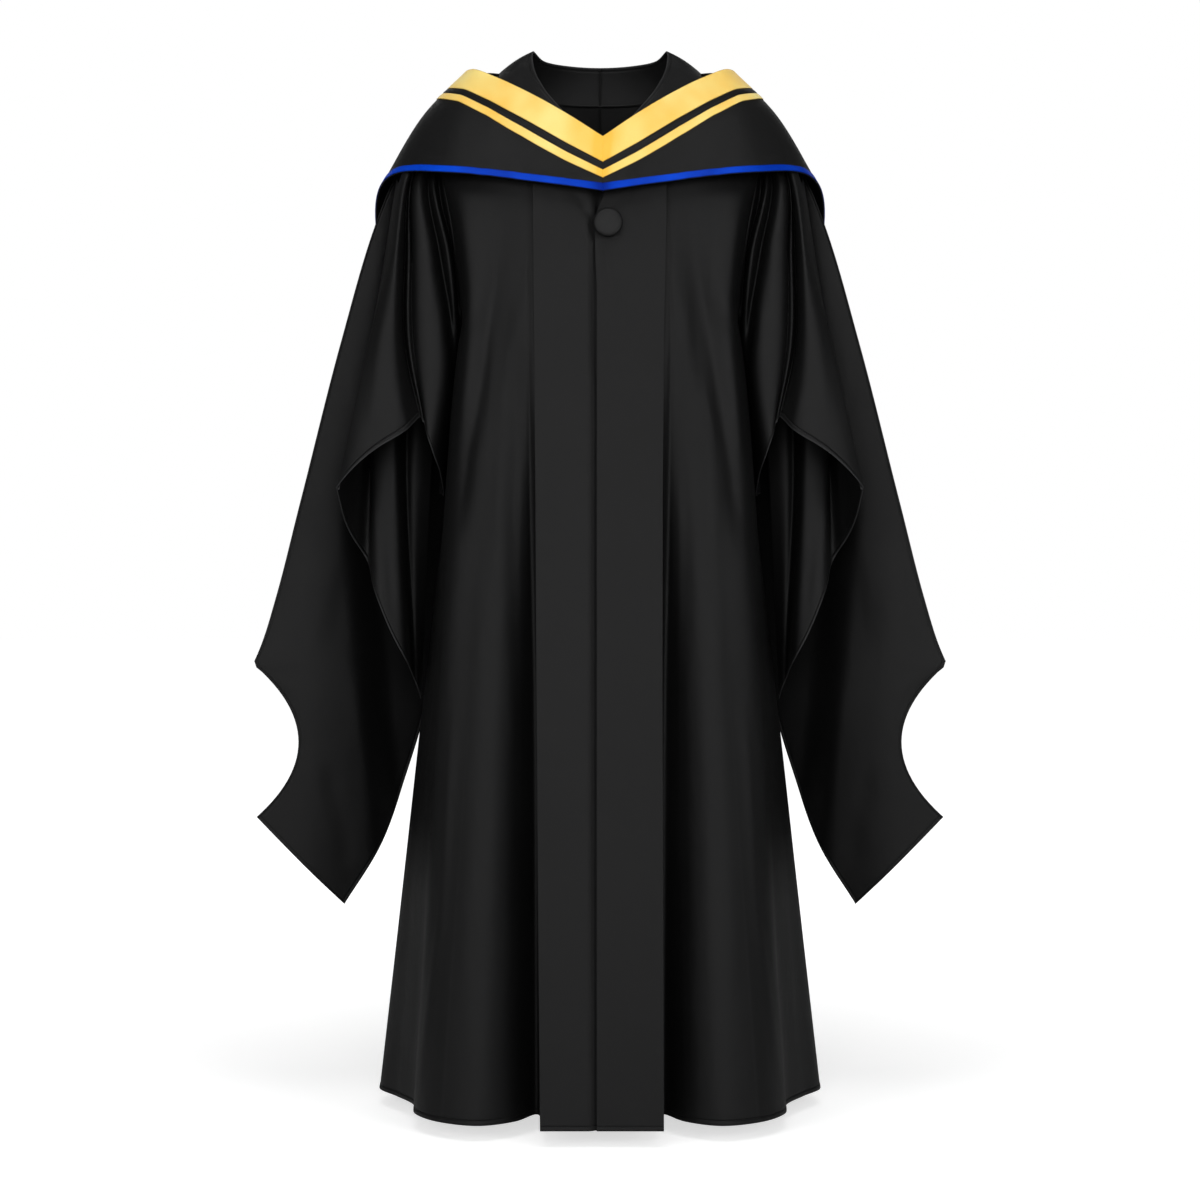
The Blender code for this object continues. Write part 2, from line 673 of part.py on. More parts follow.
def wing_points():
    """The long hanging panel: armhole back, outer edge with its crescent, tip and inner edge."""
    upper = np.array(WING_OUTER[-1], dtype=float)
    past = np.linspace(0.0, 1.0, WING_CRESCENT_STEPS + 1)[1:]
    straight = upper + (np.array(CRESCENT_LOW) - upper) * past[:, None]
    outer = np.concatenate((evenly(WING_OUTER, WING_STRAIGHT_STEPS), straight))
    bite = np.concatenate((np.zeros(WING_STRAIGHT_STEPS + 1), CRESCENT_DEPTH * 4 * past * (1 - past)))
    steps_down = WING_STRAIGHT_STEPS + WING_CRESCENT_STEPS
    inner = evenly(WING_INNER, steps_down)
    hole = evenly(armhole(ARMHOLE_BACK), WING_COLUMNS) + np.array((WING_STEP, 0.0, 0.0))
    shares = np.linspace(0.0, 1.0, WING_COLUMNS + 1)[:, None]
    cut = outer - bite[:, None] * np.array((1.0, 0.0, 0.0))
    points = cut * (1 - shares[:, :, None]) + inner * shares[:, :, None]
    width = outer[:, 0] - inner[:, 0]
    inwards = (bite + shares * (width - bite)) / width
    points[:, :, 1] = outer[:, 1] + (inner - outer)[:, 1] * inwards ** WING_TURN
    power = WING_HOLE_FADE + (WING_EDGE_FADE - WING_HOLE_FADE) * (1 - eased(shares / WING_FADE_SHARE))
    fade = (1 - np.linspace(0.0, 1.0, steps_down + 1)) ** power
    points += (hole - points[:, 0])[:, None] * fade[:, :, None]
    start, full = WING_FOLD_FADE
    for fold in WING_FOLDS:
        fall = (points[:, :, 2] - fold.z_above) / (fold.z_below - fold.z_above)
        line_x = fold.x_above + (fold.x_below - fold.x_above) * fall
        inside = (line_x - points[:, :, 0]) / fold.half_width
        swell = eased((inside + 1) / 2) if fold.step else np.exp(-(inside ** 2))
        points[:, :, 1] += fold.depth * swell * eased((points[:, :, 2] - start) / (full - start))
    return points


def make_sleeves(collection):
    """Both sleeves: gathered front, inner half and wing."""
    front = sleeve_front_points()
    inner = sleeve_inner_points(front)
    wing = wing_points()
    for side, word in SIDES:
        cloth(f"sleeve_front_{word}", mirrored(front, side), GOWN_CLOTH, BLACK_CLOTH, collection)
        cloth(f"sleeve_inner_{word}", mirrored(inner, side), GOWN_CLOTH, BLACK_CLOTH, collection)
        cloth(f"sleeve_wing_{word}", mirrored(wing, side), GOWN_CLOTH, BLACK_CLOTH, collection)


def hood_points():
    """The hood half: rows lie along the bands' edges, so that each ribbon lies on its own rows."""
    places = stations(HOOD_STEPS)
    fine_rows = stations([HOOD_CURVE_SAMPLES] * 2)
    slants = smooth_curve([(line.slant, float(number), 0.0) for number, line in enumerate(HOOD_LINES)], places)
    lines = [smooth_curve((line.neck, line.middle, line.lower), fine_rows) for line in HOOD_LINES]
    fine_lines = spread(lines, HOOD_STEPS, after=lines[-2] * MIRROR)
    columns = []
    for fine, slant in zip(fine_lines, slants[:, 0]):
        length = np.linalg.norm(np.diff(fine, axis=0), axis=1).sum()
        bands = np.cumsum((0.0, WIDE_BAND, STRIPE, NARROW_BAND)) * slant
        lower = length - EDGE_WIDTH
        between = np.linspace(bands[-1], lower, HOOD_ROWS_BETWEEN + 1)[1:]
        columns.append(at_distances(fine, np.concatenate((bands, between, [length]))))
    return np.array(columns)


def shifted_seam(points):
    """Set the hood's front seam a little to the wearer's left of the middle."""
    points = points.copy()
    reach = np.clip(1 - np.abs(points[:, :, 0]) / HOOD_SEAM_REACH, 0.0, 1.0)
    points[:, :, 0] += HOOD_SEAM_X * reach * (points[:, :, 1] < 0)
    return points


def make_hood(collection):
    """Two hood halves with their ribbons: wide and narrow yellow bands, and the blue lower edge."""
    hood = hood_points()
    hood = pulled_in(pulled_in(hood, MITRE_GAP, first_column=True), CENTRE_GAP, last_column=True)
    away = outward(hood)
    away[(0, -1), :, 0] = 0.0
    on_top = hood + away * (HOOD_CLOTH / 2 + LAY_GAP + RIBBON / 2)
    ribbons = (
        ("hood_wide_band", on_top[:, 0:2], YELLOW_SATIN),
        ("hood_narrow_band", on_top[:, 2:4], YELLOW_SATIN),
        ("hood_edge", on_top[:, -2:], BLUE_SATIN),
    )
    for side, word in SIDES:
        cloth(f"hood_{word}", shifted_seam(mirrored(hood, side)), HOOD_CLOTH, BLACK_CLOTH, collection)
        for name, points, finish in ribbons:
            cloth(f"{name}_{word}", shifted_seam(mirrored(points, side)), RIBBON, finish, collection)


def main():
    """Build the whole gown."""
    clear_scene()
    collection = bpy.data.collections.new("graduation_gown")
    bpy.context.scene.collection.children.link(collection)
    make_gown(collection)
    make_bands(collection)
    make_collar(collection)
    make_button(collection)
    make_sleeves(collection)
    make_hood(collection)


main()
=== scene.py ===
"""Graduation gown with its hood, dressed on its CAD frame.

Tables are in millimetres and Blender is in metres. The front faces -Y, +Z is up, and left is the
wearer's, +X. Each cloth piece is a thin wall on the same form as its solid, with soft creases laid
one by one, turned hems and sewn seams. The left pieces are worked out first and mirrored.
"""

import logging
import math
from dataclasses import dataclass
from enum import Enum
from typing import Any, NamedTuple, Sequence

import bmesh
import bpy
import numpy as np
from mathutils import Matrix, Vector

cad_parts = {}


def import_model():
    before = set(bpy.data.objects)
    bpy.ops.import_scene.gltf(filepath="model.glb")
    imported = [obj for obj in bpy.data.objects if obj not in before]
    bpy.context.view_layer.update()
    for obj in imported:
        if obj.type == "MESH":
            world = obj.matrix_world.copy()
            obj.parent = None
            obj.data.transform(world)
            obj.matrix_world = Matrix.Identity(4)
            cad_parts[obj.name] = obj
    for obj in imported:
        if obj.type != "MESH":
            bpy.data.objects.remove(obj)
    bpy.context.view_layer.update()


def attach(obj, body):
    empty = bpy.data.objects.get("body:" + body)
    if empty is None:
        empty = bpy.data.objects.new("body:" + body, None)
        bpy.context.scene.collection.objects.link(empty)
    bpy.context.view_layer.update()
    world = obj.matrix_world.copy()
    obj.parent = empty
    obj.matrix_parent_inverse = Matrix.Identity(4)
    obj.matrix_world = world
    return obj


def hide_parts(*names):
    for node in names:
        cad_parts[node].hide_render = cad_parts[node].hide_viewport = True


LOG = logging.getLogger("gown")
# One millimetre in metres.
MM = 0.001
MIRROR = np.array((-1.0, 1.0, 1.0))
TINY = 1e-9
# Steps from point to point of a line that is read finely.
FINE_STEPS = 40
Point = tuple[float, float, float]
Plan = tuple[float, float]


class Side(Enum):
    """The wearer's left and right, with the sign that each gives to X."""

    LEFT = 1
    RIGHT = -1

    @property
    def word(self) -> str:
        """The side's word in piece names."""
        return self.name.lower()


class Edge(Enum):
    """An edge of a piece of cloth: its first or last column, its top or bottom row."""

    FIRST = "first"
    LAST = "last"
    TOP = "top"
    BOTTOM = "bottom"


# --- curves and surfaces ------------------------------------------------------------------------


def stations(steps: Sequence[int]) -> np.ndarray:
    """Turn the number of steps in each interval into places along a line of points.

    Args:
        steps: How many steps each interval between two points is cut into.

    Returns:
        Point numbers plus the share of the way to the next point.
    """
    places = [first + step / count for first, count in enumerate(steps) for step in range(count)]
    return np.array(places + [float(len(steps))])


def smooth_curve(points: Any, places: Any, held: bool = False) -> np.ndarray:
    """Read a smooth curve through points at the given places.

    Args:
        points: The points it passes through.
        places: Point numbers plus shares of the way on.
        held: Whether the curve never swings past its points.

    Returns:
        One point for each place.
    """
    points = np.asarray(points, dtype=float)
    places = np.asarray(places, dtype=float)
    steps = np.diff(points, axis=0)
    lengths = np.linalg.norm(steps, axis=1)
    slopes = steps / lengths[:, None]
    tangents = np.concatenate((slopes[:1], slopes))
    before, after = lengths[:-1, None], lengths[1:, None]
    tangents[1:-1] = (slopes[:-1] * after + slopes[1:] * before) / (before + after)
    if held:
        agree = slopes[:-1] * slopes[1:] > 0
        limit = 2 * np.minimum(np.abs(slopes[:-1]), np.abs(slopes[1:])) * agree
        tangents[1:-1] = np.clip(tangents[1:-1], -limit, limit)
    first = np.clip(places.astype(int), 0, len(points) - 2)
    share = (places - first)[:, None]
    square, cube = share**2, share**3
    start = (2 * cube - 3 * square + 1) * points[first] + (3 * square - 2 * cube) * points[first + 1]
    leave = (cube - 2 * square + share) * tangents[first] + (cube - square) * tangents[first + 1]
    return start + leave * lengths[first][:, None]


def along_line(line: np.ndarray) -> np.ndarray:
    """Distances of a line's points from its start."""
    return np.concatenate(([0.0], np.cumsum(np.linalg.norm(np.diff(line, axis=0), axis=1))))


def at_distances(line: np.ndarray, distances: np.ndarray) -> np.ndarray:
    """Read a finely sampled line at distances from its start."""
    along = along_line(line)
    return np.column_stack([np.interp(distances, along, line[:, axis]) for axis in range(3)])


def evenly(points: Any, count: int) -> np.ndarray:
    """Read a smooth curve through points at even distances.

    Args:
        points: The points it passes through.
        count: How many steps it is cut into.

    Returns:
        The count + 1 points.
    """
    fine = smooth_curve(points, stations([FINE_STEPS] * (len(points) - 1)))
    return at_distances(fine, np.linspace(0.0, along_line(fine)[-1], count + 1))


def spread(columns: Sequence[Any], places: np.ndarray, after: Any = None) -> np.ndarray:
    """Spread a smooth surface across lines of points that run down through the same levels.

    Args:
        columns: The lines, each with as many points.
        places: Where to read the surface across the lines.
        after: A line beyond the last one that steers the surface at the seam.

    Returns:
        The surface's points, columns by rows.
    """
    steering = [*columns] if after is None else [*columns, after]
    stacked = np.array(steering)
    rows = [smooth_curve(stacked[:, row], places) for row in range(stacked.shape[1])]
    return np.array(rows).transpose(1, 0, 2)


def softened(points: np.ndarray, passes: int) -> np.ndarray:
    """Round the folds that run down a surface; its side edges stay where they are.

    Args:
        points: The surface, columns by rows.
        passes: How many times each column is eased towards its neighbours.

    Returns:
        The rounder surface.
    """
    points = points.copy()
    for _ in range(passes):
        points[1:-1] = (points[:-2] + 2 * points[1:-1] + points[2:]) / 4
    return points


def outward(points: np.ndarray) -> np.ndarray:
    """Unit directions that point away from the wearer, at each point of a panel."""
    directions = np.cross(np.gradient(points, axis=1), np.gradient(points, axis=0))
    return directions / np.maximum(np.linalg.norm(directions, axis=2, keepdims=True), TINY)


def settled(points: np.ndarray, edge_line: np.ndarray, rows: int) -> np.ndarray:
    """Bring a surface's top row onto a line, easing the change out over the rows below.

    Args:
        points: The surface, columns by rows.
        edge_line: Where its top row belongs.
        rows: How many rows the change fades over.

    Returns:
        The changed surface.
    """
    fade = np.clip(1 - np.arange(points.shape[1]) / rows, 0.0, 1.0) ** 2
    return points + (edge_line - points[:, 0])[:, None] * fade[None, :, None]


# --- creases, hems and seams ---------------------------------------------------------------------


class Crease(NamedTuple):
    """A soft ridge (height above 0) or trough (below 0) along a line of (x, z) points, in mm."""

    line: tuple[Plan, ...]
    half_width: float
    height: float


@dataclass(frozen=True)
class Laying:
    """How creases are laid on a piece and how they differ on the wearer's right.

    Each end fades over a share of the crease's length, and beside a sewn edge all of it fades over
    a reach in mm. From one crease to the next, the shift to the side, in mm, and the change of
    strength follow two waves. The drop is how much further down than sideways a crease shifts.
    """

    fade_share: float = 0.27
    sewn_reach: float = 12.0
    shift: float = 2.5
    shift_step: float = 2.1
    shift_start: float = 0.6
    drop: float = 2.0
    strength: float = 0.22
    strength_step: float = 1.7
    strength_start: float = 2.0


@dataclass(frozen=True)
class Sewing:
    """Lines of points beside hems and seams, in mm.

    Each hem line has its distance past the stitching and its share of the hem's rise. The lines
    that were there before end at the first added line's distance times the room. The seam's neck
    is the turn between its rounded edge and the cloth that reaches inwards.
    """

    room: float = 1.3
    hem_lines: tuple[Plan, ...] = ((1.2, 0.0), (0.6, 0.0), (0.0, -0.6), (-0.6, 0.8), (-1.4, 1.0))
    hem_fold: float = 0.5
    hem_fold_shares: Plan = (1.0, 0.6)
    seam_lines: Plan = (1.6, 0.7)
    seam_rounding: float = 0.5
    neck_share: float = 0.4
    neck_depth: float = 1.2


LAYING = Laying()
SEWING = Sewing()


def smooth_step(share: Any) -> Any:
    """Ease from 0 to 1."""
    share = np.clip(share, 0.0, 1.0)
    return share * share * (3 - 2 * share)


def creased(
    points: np.ndarray, creases: Sequence[Crease], sewn: Sequence[Edge] = (), turn: float = 1.0,
) -> np.ndarray:
    """Raise and sink a surface along its creases, each faded at both ends.

    Args:
        points: The surface, columns by rows.
        creases: The creases, as seen from the front or the back.
        sewn: The edges that stay where they are.
        turn: -1 where the cloth's outer side faces the wearer.

    Returns:
        The creased surface.
    """
    plan = points[..., (0, 2)]
    lift = np.zeros(points.shape[:2])
    for crease in creases:
        line = np.array(crease.line, dtype=float)
        steps = np.diff(line, axis=0)
        lengths = np.linalg.norm(steps, axis=1)
        passed = np.concatenate(([0.0], np.cumsum(lengths)))
        nearest = np.full(lift.shape, np.inf)
        where = np.zeros(lift.shape)
        for start, step, length, before in zip(line, steps, lengths, passed):
            share = np.clip((plan - start) @ step / length**2, 0.0, 1.0)
            away = np.linalg.norm(plan - start - share[..., None] * step, axis=2)
            where = np.where(away < nearest, (before + share * length) / passed[-1], where)
            nearest = np.minimum(nearest, away)
        fade = smooth_step(where / LAYING.fade_share) * smooth_step((1 - where) / LAYING.fade_share)
        lift += crease.height * fade * np.exp(-((nearest / crease.half_width) ** 2))
    for edge in sewn:
        lines = turned_to_last(points, edge)[::-1]
        away = np.linalg.norm(np.diff(lines, axis=0, prepend=lines[:1]), axis=2).cumsum(axis=0)
        lift = lift * turned_back(smooth_step(away / LAYING.sewn_reach)[::-1, :, None], edge)[..., 0]
    return points + outward(points) * lift[..., None] * turn


def as_fallen(creases: Sequence[Crease], side: Side) -> list[Crease]:
    """Shift the creases a little on the right and give them other strengths.

    Args:
        creases: The creases as on the left.
        side: The side they fall on.

    Returns:
        The creases of that side.
    """
    if side is Side.LEFT:
        return list(creases)
    fallen = []
    for number, crease in enumerate(creases):
        shift = LAYING.shift * math.sin(LAYING.shift_step * number + LAYING.shift_start)
        line = tuple((x + shift, z + LAYING.drop * shift) for x, z in crease.line)
        change = LAYING.strength * math.sin(LAYING.strength_step * number + LAYING.strength_start)
        fallen.append(crease._replace(line=line, height=crease.height * (1.0 + change)))
    return fallen


def turned_to_last(points: np.ndarray, edge: Edge) -> np.ndarray:
    """View a grid so that the asked edge is its last column.

    Args:
        points: The grid, columns by rows.
        edge: The edge.

    Returns:
        The same points, turned.
    """
    if edge in (Edge.TOP, Edge.BOTTOM):
        points = points.transpose(1, 0, 2)
    return points[::-1] if edge in (Edge.FIRST, Edge.TOP) else points


def turned_back(points: np.ndarray, edge: Edge) -> np.ndarray:
    """Undo turned_to_last."""
    points = points[::-1] if edge in (Edge.FIRST, Edge.TOP) else points
    return points.transpose(1, 0, 2) if edge in (Edge.TOP, Edge.BOTTOM) else points


def lines_near(points: np.ndarray, edge: Edge, distances: Sequence[float]) -> np.ndarray:
    """Add lines of points beside an edge and ease the others back behind them.

    Args:
        points: The surface, columns by rows.
        edge: The edge.
        distances: How far from the edge each new line lies, nearest last, in mm.

    Returns:
        The surface with its new lines.
    """
    grid = turned_to_last(points, edge)
    lines = []
    for line in grid.transpose(1, 0, 2):
        along = along_line(line)
        room = along[-1]
        kept = along[:-1] * (room - SEWING.room * distances[0]) / room
        wanted = np.concatenate((kept, room - np.array(distances), [room]))
        lines.append(smooth_curve(line, np.interp(wanted, along, np.arange(len(line)))))
    return turned_back(np.array(lines).transpose(1, 0, 2), edge)


def hemmed(points: np.ndarray, edge: Edge, width: float, rise: float) -> np.ndarray:
    """Turn a hem up along an edge: doubled cloth, sunk along the stitching.

    Args:
        points: The surface, columns by rows.
        edge: The hemmed edge.
        width: How far in the stitching runs, in mm.
        rise: How far the doubled cloth stands out, in mm.

    Returns:
        The surface with its hem.
    """
    distances = [width + past for past, _ in SEWING.hem_lines]
    shares = [*(share for _, share in SEWING.hem_lines), *SEWING.hem_fold_shares]
    points = lines_near(points, edge, [*distances, SEWING.hem_fold])
    out = turned_to_last(outward(points), edge)
    grid = turned_to_last(points, edge).copy()
    for line, share in enumerate(shares, start=-len(shares)):
        grid[line] += out[line] * rise * share
    return turned_back(grid, edge)


def seamed(points: np.ndarray, edge: Edge, depth: float, past: float) -> np.ndarray:
    """Turn a sewn edge in, so that the cloth rounds into the seam and closes it.

    Args:
        points: The surface, columns by rows.
        edge: The sewn edge.
        depth: How far the turned cloth reaches inwards, in mm.
        past: How far it slants past the seam line, in mm.

    Returns:
        The surface with its turned edge.
    """
    points = lines_near(points, edge, SEWING.seam_lines)
    out = turned_to_last(outward(points), edge)[-1]
    grid = turned_to_last(points, edge)
    ahead = grid[-1] - grid[-2]
    ahead = ahead / np.linalg.norm(ahead, axis=1, keepdims=True)
    rounded = grid[-1] - out * SEWING.seam_rounding
    neck = grid[-1] + ahead * past * SEWING.neck_share - out * SEWING.neck_depth
    end = grid[-1] + ahead * past - out * depth
    grid = np.concatenate((grid[:-1], rounded[None], neck[None], end[None]))
    return turned_back(grid, edge)


# --- shader maths ---------------------------------------------------------------------------------


class Signal:
    """A number that changes over the surface; Python's operators add its Math nodes."""

    def __init__(self, shader: "Shader", socket: Any) -> None:
        """Wrap an output socket of a shader."""
        self.shader = shader
        self.socket = socket

    def maths(self, operation: str, first: Any, second: Any = 0.0) -> "Signal":
        """Add a Math node.

        Args:
            operation: The node's operation.
            first: A number or a signal.
            second: A number or a signal.

        Returns:
            The result as a signal.
        """
        return self.shader.signal("ShaderNodeMath", {"operation": operation}, {0: first, 1: second})

    def __add__(self, other: Any) -> "Signal":
        """This plus other."""
        return self.maths("ADD", self, other)

    __radd__ = __add__

    def __sub__(self, other: Any) -> "Signal":
        """This less other."""
        return self.maths("SUBTRACT", self, other)

    def __rsub__(self, other: Any) -> "Signal":
        """Other less this."""
        return self.maths("SUBTRACT", other, self)

    def __mul__(self, other: Any) -> "Signal":
        """This times other."""
        return self.maths("MULTIPLY", self, other)

    __rmul__ = __mul__

    def __truediv__(self, other: Any) -> "Signal":
        """This over other."""
        return self.maths("DIVIDE", self, other)

    def below(self, limit: Any) -> "Signal":
        """1 where this is less than the limit."""
        return self.maths("LESS_THAN", self, limit)

    def repeated(self) -> "Signal":
        """The part after the point."""
        return self.maths("FRACT", self)

    def wave(self) -> "Signal":
        """Its sine."""
        return self.maths("SINE", self)

    def bell(self) -> "Signal":
        """1 at 0, falling off smoothly to both sides."""
        return self.maths("POWER", math.exp(-1), self * self)

    def kept_within(self) -> "Signal":
        """Held between 0 and 1."""
        return self.maths("MAXIMUM", self.maths("MINIMUM", self, 1.0), 0.0)


class Lumps(NamedTuple):
    """Soft noise: lumps to the metre, finer layers, how much closer they lie along each axis."""

    scale: float
    detail: float
    stretch: Point = (1.0, 1.0, 1.0)


class Shader:
    """A material's node tree, built with expressions."""

    def __init__(self, name: str) -> None:
        """Make a material with its Principled BSDF.

        Args:
            name: The material's name.
        """
        self.material = bpy.data.materials.new(name)
        self.material.use_nodes = True
        self.tree = self.material.node_tree
        self.surface = self.tree.nodes["Principled BSDF"]

    def node(self, kind: str, settings: dict[str, Any], inputs: dict[Any, Any]) -> Any:
        """Add a node, set it and feed it.

        Args:
            kind: The node's type.
            settings: Its own settings, which are set first.
            inputs: Values, sockets or signals by input name or number.

        Returns:
            The node.
        """
        node = self.tree.nodes.new(kind)
        for key, value in settings.items():
            setattr(node, key, value)
        for key, value in inputs.items():
            self.feed(node.inputs[key], value)
        return node

    def feed(self, target: Any, value: Any) -> None:
        """Give an input a value, or link it to a socket or signal.

        Args:
            target: The input.
            value: A number, a colour, a socket or a signal.
        """
        if isinstance(value, Signal):
            value = value.socket
        if isinstance(value, bpy.types.NodeSocket):
            self.tree.links.new(value, target)
        else:
            target.default_value = value

    def signal(
        self, kind: str, settings: dict[str, Any], inputs: dict[Any, Any], output: Any = 0,
    ) -> Signal:
        """Add a node as node() does, and wrap one of its outputs."""
        return Signal(self, self.node(kind, settings, inputs).outputs[output])

    def surface_plan(self, name: str) -> tuple[Signal, Signal]:
        """Read a UV map.

        Args:
            name: The map's name.

        Returns:
            Its two coordinates, in metres.
        """
        layer = self.node("ShaderNodeUVMap", {"uv_map": name}, {})
        parts = self.node("ShaderNodeSeparateXYZ", {}, {0: layer.outputs[0]})
        return Signal(self, parts.outputs[0]), Signal(self, parts.outputs[1])

    def noise(self, lumps: Lumps) -> Signal:
        """Soft noise on the object's own coordinates.

        Args:
            lumps: The size, detail and stretch of its lumps.

        Returns:
            The noise, about 0.5 on average.
        """
        place = self.node("ShaderNodeTexCoord", {}, {}).outputs["Object"]
        scaled = self.node("ShaderNodeVectorMath", {"operation": "MULTIPLY"}, {0: place, 1: lumps.stretch})
        inputs = {"Vector": scaled.outputs[0], "Scale": lumps.scale, "Detail": lumps.detail}
        return self.signal("ShaderNodeTexNoise", {}, inputs)

    def blend(self, factor: Any, first: Any, second: Any) -> Any:
        """Mix two colours.

        Args:
            factor: The share of the second colour, a number or a signal.
            first: A colour or a colour socket.
            second: A colour or a colour socket.

        Returns:
            The mixed colour's socket.
        """
        colours = [
            value if isinstance(value, bpy.types.NodeSocket) else (*value, 1.0)
            for value in (first, second)
        ]
        inputs = {0: factor, 6: colours[0], 7: colours[1]}
        return self.node("ShaderNodeMix", {"data_type": "RGBA"}, inputs).outputs[2]

    def bump(self, height: Signal, distance: float, below: Any = None) -> Any:
        """Turn a height into a surface direction.

        Args:
            height: The height, from 0 to 1.
            distance: What a height of 1 stands for, in metres.
            below: The direction from a coarser bump, if there is one.

        Returns:
            The direction's socket.
        """
        inputs: dict[Any, Any] = {"Height": height, "Distance": distance, "Strength": 1.0}
        if below is not None:
            inputs["Normal"] = below
        return self.node("ShaderNodeBump", {}, inputs).outputs[0]

    def finished(self, colour: Any, roughness: Any, normal: Any, gloss: float) -> bpy.types.Material:
        """Feed the surface.

        Args:
            colour: Its colour.
            roughness: Its roughness.
            normal: The direction it faces.
            gloss: How much it shines.

        Returns:
            The material.
        """
        inputs = {"Base Color": colour, "Roughness": roughness, "Normal": normal}
        inputs["Specular IOR Level"] = gloss
        for name, value in inputs.items():
            self.feed(self.surface.inputs[name], value)
        return self.material


# --- finishes -------------------------------------------------------------------------------------


@dataclass(frozen=True)
class Stitching:
    """A line of machine stitches at a distance from an edge, in metres; rim is a painted highlight of sheen
    along the edge.
    """

    edge: Edge
    distance: float
    stitch: float = 0.0028
    thread: float = 0.00045
    thread_share: float = 0.72
    furrow: float = 0.0011
    # rim: strength of the painted highlight of sheen, a lighter line along the edge
    rim: float = 0.0
    sheen_line: Plan = (0.0004, 0.0012)

    def marks(self, shader: Shader) -> Signal:
        """Draw the stitches.

        Args:
            shader: The material they go into.

        Returns:
            1 on the stitches, 0 elsewhere.
        """
        along = shader.surface_plan("cut")
        near = shader.surface_plan("near")
        far = shader.surface_plan("far")
        away, run = {
            Edge.FIRST: (near[0], along[1]),
            Edge.LAST: (far[0], along[1]),
            Edge.TOP: (near[1], along[0]),
            Edge.BOTTOM: (far[1], along[0]),
        }[self.edge]
        line = ((away - self.distance) / self.thread).bell()
        return line * (run / self.stitch).repeated().below(self.thread_share)

    def beside(self, shader: Shader, distance: float, width: float) -> Signal:
        """A soft line that runs beside the edge.

        Args:
            shader: The material it goes into.
            distance: How far in it runs, in metres.
            width: Its half width, in metres.

        Returns:
            1 along the line, falling off to 0.
        """
        near = shader.surface_plan("near")
        far = shader.surface_plan("far")
        away = {Edge.FIRST: near[0], Edge.LAST: far[0], Edge.TOP: near[1], Edge.BOTTOM: far[1]}[self.edge]
        return ((away - distance) / width).bell()


@dataclass(frozen=True)
class GownCloth:
    """Matt black polyester with a soft satin sheen and a very fine twill."""

    dark: Point = (0.0032, 0.0032, 0.0033)
    light: Point = (0.0056, 0.0056, 0.0057)
    thread_pitch: float = 0.0007
    weft_lean: float = 0.5
    weft_pitch: float = 2.2
    twill_share: float = 0.5
    weft_share: float = 0.3
    clouds: Lumps = Lumps(11.0, 3.0)
    fibres: Lumps = Lumps(900.0, 2.0)
    crumples: Lumps = Lumps(38.0, 2.5, (1.0, 1.0, 0.45))
    swells: Lumps = Lumps(7.0, 1.0, (1.4, 1.4, 0.4))
    cloud_tone: float = 0.6
    fibre_tone: float = 0.42
    weave_tone: float = 0.08
    tone_drop: float = 0.05
    crumple_share: float = 0.75
    swell_share: float = 3.0
    crumple_depth: float = 0.0010
    furrow_shade_share: float = 0.6
    thread_share: float = 0.7
    thread_rise: float = 0.5
    stitch_depth: float = 0.0005
    weave_depth: float = 0.00003
    # Colour of the painted highlight of sheen along edges that have a rim.
    painted_sheen: Point = (0.030, 0.030, 0.031)
    # Colour of the painted shade in the stitches' furrow.
    furrow_shade: Point = (0.001, 0.001, 0.001)
    thread: Point = (0.014, 0.014, 0.0145)
    roughness: float = 0.49
    roughness_drop: float = 0.08
    cloud_roughness: float = 0.10
    fibre_roughness: float = 0.06
    gloss: float = 0.17
    stitchings: tuple[Stitching, ...] = ()

    def material(self, name: str) -> bpy.types.Material:
        """Make the cloth's material.

        Args:
            name: The piece's name.

        Returns:
            The material.
        """
        shader = Shader(f"{name}_gown_cloth")
        across, down = shader.surface_plan("cut")
        turn = 2 * math.pi / self.thread_pitch
        twill = ((across + down) * turn).wave()
        weft = ((across * self.weft_lean - down) * (self.weft_pitch * turn)).wave()
        weave = twill * self.twill_share + weft * self.weft_share
        cloudy = shader.noise(self.clouds)
        fibres = shader.noise(self.fibres)
        shade = cloudy * self.cloud_tone + fibres * self.fibre_tone + weave * self.weave_tone
        colour = shader.blend(shade - self.tone_drop, self.dark, self.light)
        rough = self.roughness - self.roughness_drop + cloudy * self.cloud_roughness
        rough = rough + fibres * self.fibre_roughness
        crumple = shader.noise(self.crumples) * self.crumple_share
        height = crumple + shader.noise(self.swells) * self.swell_share
        normal = shader.bump(height, self.crumple_depth)
        marks, furrow = None, None
        for stitching in self.stitchings:
            found = stitching.marks(shader)
            furrow_shade = stitching.beside(shader, stitching.distance, stitching.furrow)
            marks = found if marks is None else marks + found
            furrow = furrow_shade if furrow is None else furrow + furrow_shade
            # Painted highlight: a lighter line along the edge stands in for the sheen of the folded edge.
            if stitching.rim:
                painted_sheen = stitching.beside(shader, *stitching.sheen_line) * stitching.rim
                colour = shader.blend(painted_sheen, colour, self.painted_sheen)
        if marks is not None and furrow is not None:
            # Painted shade: the furrow beside the stitches is darkened in colour, on top of its sunk bump.
            colour = shader.blend(furrow * self.furrow_shade_share, colour, self.furrow_shade)
            colour = shader.blend(marks * self.thread_share, colour, self.thread)
            normal = shader.bump(marks * self.thread_rise - furrow, self.stitch_depth, normal)
        normal = shader.bump(weave, self.weave_depth, normal)
        return shader.finished(colour, rough, normal, self.gloss)


